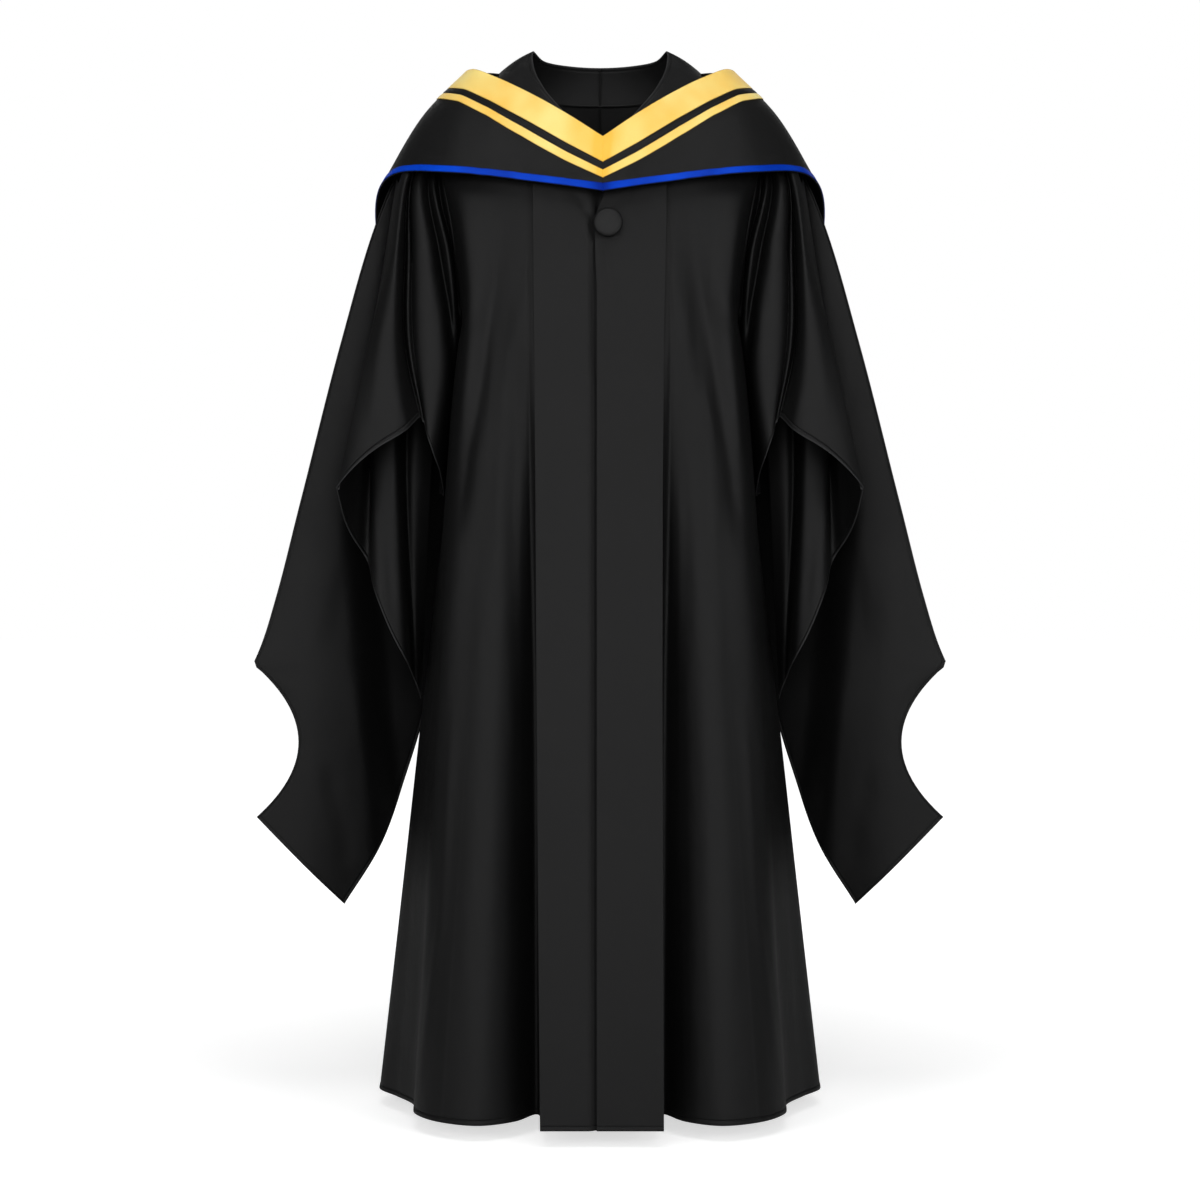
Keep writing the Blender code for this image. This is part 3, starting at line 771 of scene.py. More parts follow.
@dataclass(frozen=True)
class Satin:
    """Smooth ribbon satin: a deeper and a paler tone that drift along it, with painted shade towards its
    seams and along its edges.
    """

    deep: Point
    pale: Point
    roughness: float = 0.36
    roughness_drop: float = 0.05
    drift_roughness: float = 0.12
    gloss: float = 0.25
    thread_pitch: float = 0.0005
    thread_tone: float = 0.03
    cross_threads: float = 9000.0
    cross_share: float = 0.5
    seam_shade: float = 0.011
    seam_shade_tone: float = 0.7
    edge_line: float = 0.0007
    edge_shade_share: float = 0.55
    edge_shade_tone: float = 0.25
    drift_tone: float = 1.7
    tone_drop: float = 0.44
    fibre_tone: float = 0.12
    drifts: Lumps = Lumps(16.0, 2.0, (1.0, 1.0, 0.6))
    fibres: Lumps = Lumps(700.0, 1.0)
    ripples: Lumps = Lumps(60.0, 1.5)
    ripple_depth: float = 0.0004
    weave_depth: float = 0.00001

    def material(self, name: str) -> bpy.types.Material:
        """Make the ribbon's material.

        Args:
            name: The piece's name.

        Returns:
            The material.
        """
        shader = Shader(f"{name}_satin")
        across, down = shader.surface_plan("cut")
        sides = (*shader.surface_plan("near"), *shader.surface_plan("far"))
        threads = (across * (2 * math.pi / self.thread_pitch)).wave()
        drift = shader.noise(self.drifts)
        fine = shader.noise(self.fibres)
        # Painted shade: the satin darkens towards its seams at both ends.
        seam_shading = (sides[0] / self.seam_shade).bell() + (sides[2] / self.seam_shade).bell()
        tone = drift * self.drift_tone - self.tone_drop + fine * self.fibre_tone
        tone = tone + threads * self.thread_tone - seam_shading * self.seam_shade_tone
        colour = shader.blend(tone.kept_within(), self.deep, self.pale)
        # Painted shade: a thin darker line along each edge of the ribbon, standing in for the shade its
        # thickness casts.
        edge = sum((side / self.edge_line).bell() for side in sides) * self.edge_shade_share
        colour = shader.blend(edge, colour, tuple(self.edge_shade_tone * value for value in self.deep))
        normal = shader.bump(shader.noise(self.ripples), self.ripple_depth)
        cross = (down * self.cross_threads).wave()
        normal = shader.bump(threads + cross * self.cross_share, self.weave_depth, normal)
        rough = self.roughness - self.roughness_drop + drift * self.drift_roughness
        return shader.finished(colour, rough, normal, self.gloss)


# Painted light: the collar is the gown's cloth with lighter tones, and its rim paints a highlight of sheen
# along its top edge.
COLLAR_CLOTH = GownCloth(
    dark=(0.0062, 0.0062, 0.0063), light=(0.0098, 0.0098, 0.0100),
    stitchings=(Stitching(Edge.TOP, 0.004, rim=0.8),),
)
# Painted light: the hood is the gown's cloth with lighter tones, for its faces that tilt up away from the
# lamps.
HOOD_CLOTH = GownCloth(dark=(0.0044, 0.0044, 0.0045), light=(0.0074, 0.0074, 0.0075), roughness=0.48)
YELLOW_SATIN = Satin(deep=(0.98, 0.53, 0.060), pale=(1.0, 0.87, 0.32))
BLUE_SATIN = Satin(deep=(0.0005, 0.019, 0.26), pale=(0.0015, 0.066, 0.66), roughness=0.40, gloss=0.05)


# --- pieces of cloth ------------------------------------------------------------------------------


def write_distances(mesh: bpy.types.Mesh, order: np.ndarray, layers: dict[str, tuple[Any, Any]]) -> None:
    """Write UV maps from pairs of distances at each point of a grid.

    Args:
        mesh: The mesh that was made from the grid.
        order: The grid point of each of its vertices.
        layers: The distances across and down, in mm, by the UV map's name.
    """
    corners = np.zeros(len(mesh.loops), dtype=np.int32)
    mesh.loops.foreach_get("vertex_index", corners)
    for name, (across, down) in layers.items():
        values = np.stack((across.T.ravel(), down.T.ravel()), axis=1) * MM
        mesh.uv_layers.new(name=name).data.foreach_set("uv", values[order][corners].ravel())


@dataclass(frozen=True)
class Cloth:
    """One piece of cloth on its way to becoming a wall in the scene; points in mm."""

    name: str
    points: np.ndarray
    thickness: float
    finish: GownCloth | Satin
    slot: str
    flat: Plan
    area: float
    held: str = "hung"
    rests_on: tuple[str, ...] = ()

    def build(self) -> bpy.types.Object:
        """Make the piece's mesh, its distances and its wall.

        Returns:
            The finished object, linked to the scene.
        """
        columns, rows = self.points.shape[:2]
        shape = bmesh.new()
        bmesh.ops.create_grid(shape, x_segments=columns - 1, y_segments=rows - 1, size=0.5)
        mesh = bpy.data.meshes.new(self.name)
        shape.to_mesh(mesh)
        shape.free()
        places = np.zeros(len(mesh.vertices) * 3)
        mesh.vertices.foreach_get("co", places)
        places = places.reshape(-1, 3) + 0.5
        column = np.rint(places[:, 0] * (columns - 1)).astype(int)
        row = np.rint(places[:, 1] * (rows - 1)).astype(int)
        mesh.vertices.foreach_set("co", (self.points[column, row] * MM).ravel())
        steps_across = np.diff(self.points, axis=0, prepend=self.points[:1])
        steps_down = np.diff(self.points, axis=1, prepend=self.points[:, :1])
        across = np.linalg.norm(steps_across, axis=2).cumsum(axis=0)
        down = np.linalg.norm(steps_down, axis=2).cumsum(axis=1)
        write_distances(mesh, row * columns + column, {
            "cut": (across - across[-1:] / 2, down),
            "near": (across, down),
            "far": (across[-1:] - across, down[:, -1:] - down),
        })
        mesh.shade_smooth()
        mesh.update()
        piece = bpy.data.objects.new(self.name, mesh)
        bpy.context.scene.collection.objects.link(piece)
        wall = piece.modifiers.new("wall", "SOLIDIFY")
        wall.thickness = self.thickness * MM
        wall.offset = 0.0
        return piece

    def dress(self, *nodes: str) -> None:
        """Build the piece, give it its finish and put it in place of its CAD nodes.

        Args:
            nodes: The CAD nodes that it stands for, or none where its own name says it.
        """
        piece = self.build()
        piece.data.materials.append(self.finish.material(self.name))
        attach(piece, "root")
        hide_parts(*(nodes or (self.name.removesuffix("_cloth"),)))
        steps_across = np.diff(self.points, axis=0)[:, :-1]
        steps_down = np.diff(self.points, axis=1)[:-1]
        area = np.linalg.norm(np.cross(steps_across, steps_down), axis=2).sum() * MM**2
        LOG.info("%s: %d x %d points, %.3f square metres", self.name, *self.points.shape[:2], area)


def mirrored(points: np.ndarray, side: Side) -> np.ndarray:
    """Bring a left panel to the asked side."""
    return points * (side.value, 1.0, 1.0)


# --- form that several pieces share ---------------------------------------------------------------


class CollarStation(NamedTuple):
    """A place along the collar: its neck edge and the edge that is sewn to the gown."""

    name: str
    neck: Point
    seam: Point


class BandLevel(NamedTuple):
    """One height of the front bands: front face, outer edges of the left and the right band."""

    z: float
    front_y: float
    lap_edge: float
    under_edge: float


@dataclass(frozen=True)
class Form:
    """Lines of the gown that several pieces meet on, in mm."""

    underarm_z: float = -285.0
    hip_z: float = -650.0
    hem_z: float = -1095.0
    shoulder_point: Point = (182.0, 0.0, -21.0)
    underarm_point: Point = (150.0, 0.0, -285.0)
    armhole_front: tuple[Point, ...] = (
        (176.0, -50.0, -68.0), (157.0, -81.0, -160.0), (148.0, -62.0, -250.0),
    )
    armhole_back: tuple[Point, ...] = (
        (176.0, 50.0, -72.0), (158.0, 82.0, -165.0), (149.0, 60.0, -250.0),
    )
    shoulder_seam: tuple[Point, ...] = (
        (125.0, 0.0, 24.0), (140.0, 0.0, 22.5), (160.0, 0.0, 3.5), (182.0, 0.0, -21.0),
    )
    shoulder_start: float = 4.8
    collar_gap: float = 0.3
    collar: tuple[CollarStation, ...] = (
        CollarStation("point", (0, -120, -86), (0, -123, -114)),
        CollarStation("point side", (22, -96, -57), (38, -111, -83)),
        CollarStation("front low", (41, -70, -31), (74, -90, -47)),
        CollarStation("front", (61.6, -30, 1.5), (100, -49, -12)),
        CollarStation("shoulder front", (72.5, 0, 29.5), (110, -12, 17)),
        CollarStation("shoulder", (74, 20, 52), (110, 12, 26)),
        CollarStation("back side", (62, 50, 48), (84, 63, 10.5)),
        CollarStation("back", (34, 72, 47.5), (42, 86, 7)),
        CollarStation("back centre", (0, 78, 47), (0, 90, 6)),
    )
    bands: tuple[BandLevel, ...] = (
        BandLevel(-48.0, -91.0, 70.5, 71.0),
        BandLevel(-84.0, -111.0, 70.3, 70.8),
        BandLevel(-116.0, -123.0, 70.2, 70.7),
        BandLevel(-170.0, -132.0, 69.5, 70.3),
        BandLevel(-285.0, -138.5, 67.0, 69.0),
        BandLevel(-450.0, -149.0, 65.2, 67.2),
        BandLevel(-650.0, -165.0, 64.5, 65.6),
        BandLevel(-870.0, -183.0, 64.8, 63.5),
        BandLevel(-1095.0, -201.0, 65.0, 61.0),
    )

    def armhole(self, points: tuple[Point, ...]) -> tuple[Point, ...]:
        """One half of the armhole, shoulder to underarm."""
        return (self.shoulder_point, *points, self.underarm_point)

    def collar_edges(self, places: Any) -> tuple[np.ndarray, np.ndarray]:
        """Find the collar's two long edges.

        Args:
            places: Places along it, as station numbers and shares of the way on.

        Returns:
            The neck edge and the sewn edge, one point each for each place.
        """
        edges = []
        for name in ("neck", "seam"):
            points = [getattr(station, name) for station in self.collar]
            edges.append(smooth_curve([*points, np.array(points[-2]) * MIRROR], places))
        return edges[0], edges[1]

    def collar_foot(self, place: float) -> np.ndarray:
        """Where the gown starts below the collar, at a place along it."""
        neck, seam = (edge[0] for edge in self.collar_edges([place]))
        return seam + (seam - neck) / np.linalg.norm(seam - neck) * self.collar_gap

    def band_face(self, z: float) -> tuple[float, float, float]:
        """Find the bands' faces at a height.

        Args:
            z: The height.

        Returns:
            The Y of their front face, and the X of the left and of the right band's outer edge.
        """
        heights = np.array([level.z for level in self.bands])
        first = int(np.clip(np.searchsorted(-heights, -z) - 1, 0, len(heights) - 2))
        share = (heights[first] - z) / (heights[first] - heights[first + 1])
        face = smooth_curve([(level.z, level.front_y) for level in self.bands], [first + share])[0][1]
        lap = np.interp(-z, -heights, [level.lap_edge for level in self.bands])
        under = np.interp(-z, -heights, [level.under_edge for level in self.bands])
        return float(face), float(lap), float(under)


# --- gown fronts and backs ------------------------------------------------------------------------


class Fold(NamedTuple):
    """A fold line of a gown panel: place on the top edge, share of the width, (x, y) at levels."""

    name: str
    collar: float
    shoulder: float
    share: float
    underarm: Plan
    hip: Plan
    hem: Plan


class Across(NamedTuple):
    """A level above the underarm: its ends, how far the cloth bows out and how late it turns back."""

    inner: Point
    outer: Point
    bow: float
    turn: float = 1.0


@dataclass
class GownBody:
    """The gown's two fronts and two backs."""

    form: Form
    thickness: float = 0.9
    hem: float = 5.0
    hem_rise: float = 0.5
    side_seam: Plan = (4.0, 0.5)
    top_seam: Plan = (4.0, 1.0)
    tuck: float = 10.0
    blend_start: float = 0.4
    blend_width: float = 0.2
    column_steps: int = 10
    rows_down: tuple[int, ...] = (10, 16, 16, 10, 56, 56)
    rows_to_underarm: int = 4
    front_folds: tuple[Fold, ...] = (
        Fold("band seam", 1.75, 0.0, 0.00, (64, -133.5), (60, -160), (57, -196)),
        Fold("pleat valley", 2.10, 0.0, 0.00, (74, -133.5), (70, -114), (68, -120)),
        Fold("pleat rise", 2.50, 0.0, 0.15, (85, -132), (84, -129), (89, -155)),
        Fold("flare crest", 3.40, 0.0, 0.32, (100, -127), (110, -144), (124, -175)),
        Fold("flare", 4.50, 0.0, 0.57, (117, -126), (137, -137), (166, -157)),
        Fold("flare edge", 0.0, 0.7, 0.85, (139, -117), (164, -122), (194, -116)),
        Fold("behind edge", 0.0, 1.5, 0.94, (148, -97), (174, -97), (199, -72)),
        Fold("side", 0.0, 2.3, 0.975, (150, -42), (184, -50), (220, -30)),
        Fold("side seam", 0.0, 3.0, 1.00, (150, 0), (192, 4), (243, 13)),
    )
    back_folds: tuple[Fold, ...] = (
        Fold("side seam", 0.0, 3.0, 1.00, (150, 0), (192, 4), (243, 13)),
        Fold("side crest", 0.0, 2.0, 0.90, (144, 44), (182, 47), (233, 60)),
        Fold("side valley", 0.0, 1.0, 0.77, (134, 78), (163, 84), (205, 94)),
        Fold("back crest", 4.8, 0.0, 0.64, (118, 103), (146, 118), (184, 138)),
        Fold("back valley", 5.4, 0.0, 0.50, (95, 118), (115, 124), (142, 134)),
        Fold("inner crest", 6.0, 0.0, 0.37, (70, 126), (88, 145), (112, 170)),
        Fold("inner valley", 6.6, 0.0, 0.25, (45, 130), (56, 139), (72, 153)),
        Fold("centre crest", 7.3, 0.0, 0.12, (22, 132), (29, 150), (38, 176)),
        Fold("centre seam", 8.0, 0.0, 0.00, (0, 132), (0, 146), (0, 164)),
    )
    front_across: tuple[Across, ...] = (
        Across((75, -108.5, -90), (176, -50, -68), -8, 1.2),
        Across((75, -123.5, -150), (157, -81, -160), 1, 12.0),
        Across((75, -130.5, -225), (148, -62, -250), 3, 14.0),
    )
    back_across: tuple[Across, ...] = (
        Across((0, 114, -70), (176, 50, -72), 16),
        Across((0, 128, -165), (158, 82, -165), 12),
        Across((0, 131, -235), (149, 60, -250), 18),
    )
    flare_creases: tuple[Crease, ...] = (
        Crease(((150, -640), (157, -760), (163, -883), (178, -990), (190, -1088)), 4.0, 1.2),
        Crease(((118, -470), (124, -620), (132, -820), (141, -1040)), 10.0, 1.2),
        Crease(((172, -700), (182, -850), (200, -1050)), 8.0, -1.4),
    )
    left_chest_creases: tuple[Crease, ...] = (
        Crease(
            ((81, -170), (84, -240), (92, -300), (104, -345), (112, -390), (118, -470), (124, -560)),
            10.0, 2.0,
        ),
        Crease(((92, -140), (105, -230), (119, -300), (129, -350), (139, -410), (153, -530)), 12.0, -6.2),
        Crease(((124, -190), (132, -260), (141, -340), (150, -430)), 8.0, 1.3),
        Crease(((82, -190), (80, -340), (83, -400), (88, -470), (88, -560), (86, -690)), 9.0, -2.4),
        Crease(((73.5, -120), (73.5, -300), (72.5, -470), (71, -640)), 2.0, -1.0),
        Crease(((107, -318), (114, -352), (121, -395)), 3.0, 0.6),
    )
    right_chest_creases: tuple[Crease, ...] = (
        Crease(((114, -170), (121, -240), (131, -290), (139, -345), (145, -410)), 9.0, 1.6),
        Crease(((104, -150), (115, -245), (124, -302), (132, -350), (142, -400), (156, -520)), 12.0, -6.8),
        Crease(
            ((80, -200), (85, -262), (95, -302), (101, -345), (103, -410), (106, -470), (106, -560)),
            9.0, 2.0,
        ),
        Crease(((84, -210), (87, -345), (86, -400), (89, -440), (88, -560), (86, -690)), 9.0, -2.6),
        Crease(((74, -130), (74, -310), (73, -480), (71, -650)), 2.0, -1.1),
    )
    back_creases: tuple[Crease, ...] = (
        Crease(((26, -330), (33, -560), (42, -860), (50, -1070)), 9.0, 2.0),
        Crease(((62, -400), (72, -640), (88, -900), (98, -1070)), 8.0, -2.4),
        Crease(((112, -330), (124, -520), (146, -800), (166, -1040)), 9.0, 2.2),
        Crease(((134, -520), (152, -760), (178, -1020)), 7.0, -1.8),
        Crease(((88, -120), (96, -200), (112, -290)), 9.0, -2.2),
        Crease(((60, -380), (52, -420), (46, -470)), 6.0, 1.4),
    )

    def top_edge(self, folds: tuple[Fold, ...], places: np.ndarray) -> np.ndarray:
        """Follow a panel's top edge along the collar and then along the shoulder seam.

        Args:
            folds: The panel's folds.
            places: Places across it, as fold numbers and shares of the way on.

        Returns:
            One point for each place.
        """
        shoulder = [self.form.collar_foot(self.form.shoulder_start), *self.form.shoulder_seam]
        seam_end = max(fold.shoulder for fold in folds)
        points = []
        for place in places:
            first = min(int(place), len(folds) - 2)
            share = place - first
            here, there = folds[first], folds[first + 1]
            if here.shoulder + there.shoulder == 0:
                points.append(self.form.collar_foot(here.collar + (there.collar - here.collar) * share))
            else:
                along = here.shoulder + (there.shoulder - here.shoulder) * share
                points.append(smooth_curve(shoulder, [along * len(self.form.shoulder_seam) / seam_end])[0])
        return np.array(points)

    def level(self, across: Across, share: float) -> np.ndarray:
        """Find a point of a level above the underarm.

        Args:
            across: The level.
            share: The share of its width.

        Returns:
            The point.
        """
        inner, outer = np.array(across.inner, dtype=float), np.array(across.outer, dtype=float)
        late = share**across.turn - share
        back = across.bow * 4 * share * (1 - share) + (outer - inner)[1] * late
        return inner + (outer - inner) * share + (0.0, back, 0.0)

    def fold_lines(
        self, folds: tuple[Fold, ...], across: tuple[Across, ...], hole: tuple[Point, ...],
    ) -> list[np.ndarray]:
        """Draw a panel's fold lines; the side one follows the armhole, then the side seam.

        Args:
            folds: The panel's folds.
            across: Its levels above the underarm.
            hole: Its half of the armhole.

        Returns:
            The lines from the top edge to the hem, all with as many points.
        """
        top = self.top_edge(folds, np.arange(len(folds), dtype=float))
        places = stations(self.rows_down)
        lines = []
        for number, fold in enumerate(folds):
            below = [
                (*fold.underarm, self.form.underarm_z),
                (*fold.hip, self.form.hip_z),
                (*fold.hem, self.form.hem_z),
            ]
            levels = [self.level(level, fold.share) for level in across]
            if fold.name == "band seam":
                levels = [point - (self.tuck, 0.0, 0.0) for point in levels]
            line = smooth_curve([top[number], *levels, *below], places, held=True)
            if fold.name == "side seam":
                beside_hole = self.rows_down[:self.rows_to_underarm]
                beside_seam = self.rows_down[self.rows_to_underarm:]
                down_hole = smooth_curve([top[number], *hole[1:]], stations(beside_hole))
                line = np.concatenate((down_hole, smooth_curve(below, stations(beside_seam))[1:]))
            lines.append(line)
        return lines

    def panels(self) -> tuple[np.ndarray, np.ndarray]:
        """Form the left front and the left back, seam line to seam line.

        Returns:
            The points of the front and of the back, columns by rows.
        """
        form = self.form
        front_lines = self.fold_lines(self.front_folds, self.front_across, form.armhole(form.armhole_front))
        back_lines = self.fold_lines(self.back_folds, self.back_across, form.armhole(form.armhole_back))
        places = stations([self.column_steps] * (len(self.front_folds) - 1))
        front = spread(front_lines, places, after=back_lines[1])
        front = settled(front, self.top_edge(self.front_folds, places), self.rows_down[0])
        towards_side = spread(back_lines[::-1], places, after=front_lines[-2])[::-1]
        towards_centre = spread(back_lines, places, after=back_lines[-2] * MIRROR)
        share = smooth_step((places / places[-1] - self.blend_start) / self.blend_width)[:, None, None]
        back = towards_side * (1 - share) + towards_centre * share
        back = settled(back, self.top_edge(self.back_folds, places), self.rows_down[0])
        return front, back

    def make(self) -> None:
        """Dress the four panels."""
        front, back = self.panels()
        cloth = GownCloth(stitchings=(Stitching(Edge.BOTTOM, self.hem * MM),))
        for side in Side:
            chest = self.left_chest_creases if side is Side.LEFT else self.right_chest_creases
            panel = creased(front, (*chest, *as_fallen(self.flare_creases, side)), (Edge.LAST, Edge.TOP))
            panel = hemmed(panel, Edge.BOTTOM, self.hem, self.hem_rise)
            panel = seamed(panel, Edge.LAST, *self.side_seam)
            panel = seamed(panel, Edge.TOP, *self.top_seam)
            Cloth(
                f"front_{side.word}_cloth", mirrored(panel, side), self.thickness, cloth, "gown_cloth",
                flat=(0.34, 1.13), area=0.262, rests_on=(f"band_{side.word}",),
            ).dress()
            panel = creased(back, as_fallen(self.back_creases, side), (Edge.FIRST, Edge.LAST, Edge.TOP))
            panel = hemmed(panel, Edge.BOTTOM, self.hem, self.hem_rise)
            panel = seamed(panel, Edge.FIRST, *self.side_seam)
            panel = seamed(panel, Edge.LAST, *self.side_seam)
            panel = seamed(panel, Edge.TOP, *self.top_seam)
            Cloth(
                f"back_{side.word}_cloth", mirrored(panel, side), self.thickness, cloth, "gown_cloth",
                flat=(0.40, 1.14), area=0.30,
            ).dress()


@dataclass
class FrontBands:
    """The two straight bands down the opening; the left one laps over the right one."""

    form: Form
    thickness: float = 2.4
    cad_thickness: float = 3.0
    lay_gap: float = 0.4
    lap_x: float = -3.5
    lap_width: float = 28.0
    lap_step_width: float = 7.0
    slant: float = 1.25
    top: tuple[Plan, ...] = ((0.0, -119.7), (12.0, -111.7), (38.0, -89.2), (71.0, -58.2))
    foot_z: float = -170.0
    top_rows: int = 18
    low_rows: int = 22
    curl: float = 8.2
    curl_levels: Plan = (-126.0, -154.0)
    pull: float = 1.8
    pull_level: float = -186.0
    pull_reach: float = 28.0
    lap_inner_steps: tuple[float, ...] = (0.0, 0.7, 2.0, 4.0, 6.0, 8.2, 10.5, 13.0, 16.0)
    lap_outer_start: float = 20.0
    lap_outer_columns: int = 7
    under_outer_columns: int = 6
    under_outer_end: float = 16.0
    under_inner_steps: tuple[float, ...] = (12.0, 9.0, 6.0, 3.0, 0.0)
    under_step_x: float = 3.0
    under_step_share: float = 0.4
    under_lap_columns: int = 7
    edge_lines: Plan = (1.6, 0.6)
    hem: float = 4.0
    lap_creases: tuple[Crease, ...] = (
        Crease(((4.4, -176), (7.2, -201), (10.4, -222), (13.6, -239), (15.0, -262)), 1.7, 1.0),
        Crease(((1.4, -178), (3.4, -205), (6.4, -232)), 1.6, -0.8),
        Crease(((26, -128), (16, -142), (12, -150)), 3.0, -0.5),
        Crease(((40, -300), (37, -420), (41, -560)), 12.0, -0.7),
    )
    under_creases: tuple[Crease, ...] = (
        Crease(((1, -112), (1, -132), (-1, -156)), 4.5, -5.0),
        Crease(((-28, -124), (-19, -140), (-11, -158)), 4.0, -1.1),
        Crease(((-11, -142), (-10, -161), (-8.5, -184)), 4.0, -1.8),
        Crease(((-9.5, -172), (-8, -215), (-7, -260), (-6.5, -340)), 3.8, -1.3),
        Crease(((-7, -250), (-6.5, -500), (-6.5, -800), (-6.5, -1094)), 3.5, -0.8),
    )

    def columns(self, xs_at: Any, steps_back: Sequence[float]) -> np.ndarray:
        """Form a band from the collar's slant down to the hem.

        Args:
            xs_at: Gives the X of each column at a height.
            steps_back: How far each column lies behind the front face.

        Returns:
            The band's points, columns by rows.
        """
        top_xs, top_zs = zip(*self.top)
        foot = [level.z for level in self.form.bands].index(self.foot_z)
        low = [level.z for level in self.form.bands[foot:]]
        low_rows = np.interp(stations([self.low_rows] * (len(low) - 1)), range(len(low)), low)
        columns = []
        for column, step_back in enumerate(steps_back):
            top = float(np.interp(abs(xs_at(self.form.bands[0].z)[column]), top_xs, top_zs))
            heights = (*np.linspace(top, self.foot_z, self.top_rows + 1)[:-1], *low_rows)
            faces = [self.form.band_face(z)[0] + self.thickness / 2 + step_back for z in heights]
            columns.append([(xs_at(z)[column], face, z) for z, face in zip(heights, faces)])
        return np.array(columns)

    def lap_xs(self, z: float) -> list[float]:
        """Place the left band's columns at a height.

        Args:
            z: The height.

        Returns:
            The X of each column, from the opening outwards.
        """
        outer = self.form.band_face(z)[1]
        low, high = self.curl_levels[1], self.curl_levels[0]
        curled = self.curl * smooth_step((z - low) / (high - low))
        pulled = self.pull * math.exp(-(((z - self.pull_level) / self.pull_reach) ** 2))
        inner = self.lap_x + curled - pulled
        near = [inner + step for step in self.lap_inner_steps]
        return [*near, *np.linspace(inner + self.lap_outer_start, outer, self.lap_outer_columns)]

    def under_xs(self, z: float) -> list[float]:
        """Place the right band's columns at a height.

        Args:
            z: The height.

        Returns:
            The X of each column, from its outer edge inwards and on under the left band.
        """
        outer = -self.form.band_face(z)[2]
        step = self.lap_x - self.lay_gap - self.lap_step_width
        wide = np.linspace(outer, step - self.under_outer_end, self.under_outer_columns)
        near = [step - away for away in self.under_inner_steps]
        under_start, under_end = self.lap_x - self.lay_gap, self.lap_x + self.lap_width
        under = np.linspace(under_start, under_end, self.under_lap_columns)
        return [*wide, *near, step + self.under_step_x, *under]

    def make(self) -> None:
        """Dress both bands."""
        under = (self.cad_thickness + self.lay_gap) * self.slant
        in_front = [0.0] * (len(self.lap_inner_steps) + self.lap_outer_columns)
        lap = creased(self.columns(self.lap_xs, in_front), self.lap_creases)
        beside = [0.0] * (self.under_outer_columns + len(self.under_inner_steps))
        behind = [under * self.under_step_share] + [under] * self.under_lap_columns
        below = creased(self.columns(self.under_xs, beside + behind), self.under_creases)
        cloth = GownCloth(stitchings=(Stitching(Edge.BOTTOM, self.hem * MM),))
        for name, points in (("band_left", lap), ("band_right", below)):
            for edge in (Edge.FIRST, Edge.LAST, Edge.BOTTOM):
                points = lines_near(points, edge, self.edge_lines)
            Cloth(
                f"{name}_cloth", points, self.thickness, cloth, "gown_cloth",
                flat=(0.10, 1.06), area=0.073 if name == "band_left" else 0.095, held="hung",
            ).dress()


@dataclass
class Collar:
    """The band round the neck, in two halves."""

    form: Form
    thickness: float = 1.8
    roll: float = 2.0
    rows: int = 8
    steps: int = 9
    edge_lines: Plan = (2.0, 0.7)
    back_seam: Plan = (3.0, 0.4)
    low_seam: Plan = (3.0, 0.8)

    def make(self) -> None:
        """Dress both halves."""
        neck, seam = self.form.collar_edges(stations([self.steps] * (len(self.form.collar) - 1)))
        shares = np.linspace(0.0, 1.0, self.rows + 1)
        points = neck[:, None] + (seam - neck)[:, None] * shares[None, :, None]
        points = points + outward(points) * (self.roll * 4 * shares * (1 - shares))[None, :, None]
        points = lines_near(points, Edge.TOP, self.edge_lines)
        points = seamed(points, Edge.LAST, *self.back_seam)
        points = seamed(points, Edge.BOTTOM, *self.low_seam)
        for side in Side:
            Cloth(
                f"collar_{side.word}_cloth", mirrored(points, side), self.thickness, COLLAR_CLOTH,
                "gown_cloth", flat=(0.30, 0.055), area=0.0145, held="folded",
            ).dress()


class Ring(NamedTuple):
    """A ring of the button: shares of its radius, thickness and crown, and mm added to its height."""

    radius: float
    thickness: float
    crown: float = 0.0
    added: float = 0.0


